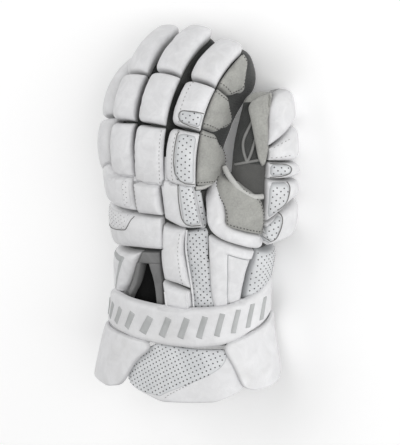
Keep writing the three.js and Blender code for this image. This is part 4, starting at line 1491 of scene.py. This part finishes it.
# Seams: each list holds lines on the pads or on the cloth
seams = {
    # Painted shade: grey tubes along the insets' borders and one pad edge stand for the shadow in the gaps
    # there.
    "gapShadeLines": [
        trail("index_base_pad", ((0.388, -4), (0.108, -3.5), (0.107, 35)), 0.25),
        trail("index_middle_pad", ((0.421, 34), (0.422, -7.5), (0.5, -9.5), (0.522, 34)), 0.25),
        trail("index_knuckle_pad", ((0.885, 44.5), (0.78, 42.5), (0.66, 43), (0.645, 62)), 0.25),
        trail("thumb_upper_panel", ((0.562, -76), (0.58, -42.5), (0.637, -39.5), (0.642, -76)), 0.25),
        trail("thumb_lower_panel", ((0.38, -62), (0.415, -49), (0.535, -41)), 0.25),
        trail("thumb_heel_panel", ((0.2, -66), (0.215, -57), (0.355, -53)), 0.25),
        trail("outer_back_pad", ((0.647, -70), (0.645, -16), (0.66, -11), (0.71, -6)), 0.05),
        trail("middle_base_pad", ((0.385, -40), (0.1, -40)), 0.05),
    ],
    "whitePiping": [
        railTrail("hand", ((0.63, 45), (0.56, 40), (0.5, 38), (0.4, 37), (0.3, 35.8), (0.2, 35.2)), 5.2),
        trail("lower_centre_pad", ((0.3, 31), (0.22, 31)), 0.2),
        trail("lower_centre_pad", ((0.31, 13), (0.22, 13)), 0.2),
    ],
    # Painted shade: a grey tube along the L groove of the moulded wrist pad stands for the shade in the groove.
    "mouldGrooveShade": [
        onPad(
            pads["trapezoid_wrist_pad"],
            np.array(wristMould["groove"]["line"]) * pads["trapezoid_wrist_pad"].size,
            0.05,
        )
    ],
    "crotchRoll": [
        railTrail("base", ((1.1, -58), (1.07, -40), (1.03, -20), (0.985, 0), (0.975, 18), (0.985, 32)), 4.5)
    ],
    "gussets": [
        railTrail("middle", ((0.07, 52), (0.16, 52), (0.25, 53)), finger["pad"] - 3),
        railTrail("middle", ((0.07, -50), (0.16, -50), (0.26, -51)), finger["pad"] - 3),
    ],
    "lobeWelt": [
        railTrail("index", ((0.075, 40), (0.075, 62), (0.095, 84), (0.125, 104), (0.17, 116)), 3.5)
    ],
    "thumbRibs": [
        railTrail(
            "thumb", ((0.64, -114), (0.71, -126), (0.76, -130), (0.82, -120), (0.86, -112), (0.91, -106)), 0.4
        ),
        railTrail("thumb", ((0.64, -114), (0.69, -106), (0.74, -102), (0.8, -96)), 0.4),
        railTrail("thumb", ((0.62, -150), (0.64, -114), (0.66, -84)), 0.3),
    ],
    "suedeStitches": [
        borderTrail("index_tip_lobe", 3.4, "frb", 0.2), borderTrail("index_middle_lobe", 3.4, "frb", 0.2),
        borderTrail("index_base_lobe", 3.6, "frb", 0.2), borderTrail("suede_saddle", 3.2, "rbl", 0.2),
    ],
    "whiteStitches": [
        trail("centre_long_pad", ((0.62, 37.5), (0.5, 31.5), (0.34, 29.5)), 0.1),
        trail("middle_base_pad", ((0.38, 34), (0.1, 34)), 0.1),
        trail("index_base_pad", ((0.39, -8), (0.12, -8)), 0.1),
        trail("index_middle_pad", ((0.66, -8), (0.43, -8)), 0.1),
        trail("thumb_middle_pad", ((0.735, -70), (0.755, -60), (0.78, -44)), 0.1),
        trail("thumb_middle_pad", ((0.675, -74), (0.68, -60), (0.69, -44)), 0.1),
        trail("cuff_tongue", ((0.012, 16.5), (0.13, 29), (0.3, 46), (0.5, 67)), 0.12),
        trail("middle_knuckle_pad", ((0.88, -0.5), (0.74, -0.5)), 0.1),
    ],
}
seamLooks = {
    "gapShadeLines": ("piping", "seamGrey", "dark_cloth", {"Radius": 0.42}),
    "whitePiping": ("piping", "whiteLeather", "white_leather", {"Radius": 0.9}),
    "mouldGrooveShade": ("piping", "creaseGrey", "white_leather", {"Radius": 0.6}),
    "crotchRoll": ("piping", "rollWhite", "white_leather", {"Radius": 2.3}),
    "gussets": ("piping", "whiteLeather", "white_leather", {"Radius": 2.2}),
    "lobeWelt": ("piping", "rollWhite", "light_suede", {"Radius": 1.7}),
    "thumbRibs": ("piping", "ribGrey", "vent_grey", {"Radius": 1.15}),
    "suedeStitches": ("stitches", "seamDark", "light_suede", {"Pitch": 2.7, "Length": 1.5, "Thick": 1.0}),
    "whiteStitches": (
        "stitches", "greyThread", "white_leather", {"Pitch": 3.1, "Length": 1.7, "Thick": 0.55},
    ),
}
for name, lines in seams.items():
    treeName, finish, slot, sizes = seamLooks[name]
    gathered(name, [grown(lineMesh(lines), treeName, finish, **sizes)], finish)
print("seams made")

# Hollow cloth body: outer tubes with domed ends, less their cavities
bodyForms = {
    "hand": {"from": 0, "to": 0.86, "dome": 0.5, "sides": 96, "rings": 60},
    "base": {"from": 0, "to": 0.97, "dome": 0.5, "sides": 80, "rings": 50},
    "thumb": {"from": 0.3, "to": 0.96, "dome": 0.8, "sides": 64, "rings": 44},
    "little": {"from": 0.06, "to": 0.95, "dome": 0.7, "sides": 56, "rings": 48},
}
for name in ("index", "middle", "ring"):
    bodyForms[name] = {"from": 0.05, "to": 0.95, "dome": 0.7, "sides": 56, "rings": 56}
domeRings = 9


def tubeRings(rail, form, start, grow):
    end, sides, count = form["to"], form["sides"], form["rings"]
    angle = 360 * np.arange(sides) / sides
    rings = [skin(rail, np.full(sides, t), angle, grow) for t in np.linspace(start, end, count + 1)]
    last = np.array([end])
    middle = centre(rail, last)
    reach = axes(rail, last)[0] * (float(column(rail, "deep", end)) / 2 + grow) * form["dome"]
    for k in range(1, domeRings):
        tilt = math.pi / 2 * k / domeRings
        rings.append((rings[count] - middle) * math.cos(tilt) + middle + reach * math.sin(tilt))
    return rings, middle + reach


def tubeMesh(name, grow, start):
    form = bodyForms[name]
    rings, tip = tubeRings(rails[name], form, form["from"] + start, grow)
    sides = form["sides"]
    points = np.concatenate([*rings, tip, rings[0].mean(0)[None]])
    faces = []
    for i in range(len(rings) - 1):
        for k in range(sides):
            a, b = i * sides + k, i * sides + (k + 1) % sides
            faces.append((a, b, b + sides, a + sides))
    last = (len(rings) - 1) * sides
    for k in range(sides):
        faces.append((last + k, last + (k + 1) % sides, len(points) - 2))
        faces.append(((k + 1) % sides, k, len(points) - 1))
    return points, faces


# A tube grown by some millimetres, which starts at another share of its rail than its form does
def cutter(name, grow=0, start=0.0):
    points, faces = tubeMesh(name, grow, start)
    mesh = bpy.data.meshes.new("cutter")
    mesh.from_pydata((points / 1000).tolist(), [], faces)
    facedOut(mesh)
    return added("cutter", mesh)


def settled(piece):
    found = piece.evaluated_get(bpy.context.evaluated_depsgraph_get())
    mesh = bpy.data.meshes.new_from_object(found)
    piece.modifiers.clear()
    old = piece.data
    piece.data = mesh
    bpy.data.meshes.remove(old)
    return mesh


shellForm = {"roomStart": -0.01, "cavityStart": -0.16}


# suedeEnds: cloth short of the first length along the hand is palm suede, past the second light suede
def shellPiece(node, outer, cavities, others, suedeEnds=None):
    body = cutter(outer[0])
    jobs = [("UNION", cutter(other)) for other in outer[1:]]
    jobs += [("DIFFERENCE", cutter(other, hand["gap"], shellForm["roomStart"])) for other in others]
    jobs += [("DIFFERENCE", cutter(other, -hand["wall"], shellForm["cavityStart"])) for other in cavities]
    for operation, helper in jobs:
        step = body.modifiers.new("cut", "BOOLEAN")
        step.operation, step.object, step.solver = operation, helper, "MANIFOLD"
    mesh = settled(body)
    for _, helper in jobs:
        bpy.data.objects.remove(helper)
    depth = np.array([polygon.center[1] * 1000 for polygon in mesh.polygons])
    mesh.vertices.foreach_set("co", aboveFloor(pointsOf(mesh) * 1000).astype(np.float32).ravel())
    mesh.materials.clear()
    mesh.materials.append(materials["darkKnit"])
    if suedeEnds:
        mesh.materials.append(materials["palmSuede"])
        mesh.materials.append(materials["lightSuede"])
        index = np.where(depth < suedeEnds[0], 1, np.where(depth > suedeEnds[1], 2, 0))
        mesh.polygons.foreach_set("material_index", index.astype(np.int32))
    for polygon in mesh.polygons:
        polygon.use_smooth = True
    setEdge(mesh, farEdge)
    body.name = node + "_cloth"
    settle(body, [node])
    print(body.name, len(mesh.polygons), "faces")


digits = ("thumb", "index", "middle", "ring", "little")
thumbMesh = (0.64, 0.99)  # dark mesh between these shares of the thumb, suede before and after
shellPiece("hand_shell", ("hand", "base"), (*digits, "hand", "base"), digits)
for digit in digits:
    ends = [float(centre(thumbRail, np.array(t))[1]) for t in thumbMesh] if digit == "thumb" else None
    shellPiece(digit + "_shell", (digit,), (digit,), (), ends)
print("cloth body made")

# Floor
floorHalf = 3
floorLook = {
    "Base Color": (0.97, 0.97, 0.97, 1), "Roughness": 0.7,
    "Emission Color": (1, 1, 1, 1), "Emission Strength": 0.14,
}
corners = [(x * floorHalf, y * floorHalf, 0) for x, y in ((-1, -1), (1, -1), (1, 1), (-1, 1))]
floor = bpy.data.meshes.new("floor")
floor.from_pydata(corners, [], [(0, 1, 2, 3)])
floorFinish = bpy.data.materials.new("paleFloor")
floorFinish.use_nodes = True
for socket, value in floorLook.items():
    floorFinish.node_tree.nodes["Principled BSDF"].inputs[socket].default_value = value
floor.materials.append(floorFinish)
added("floor", floor)
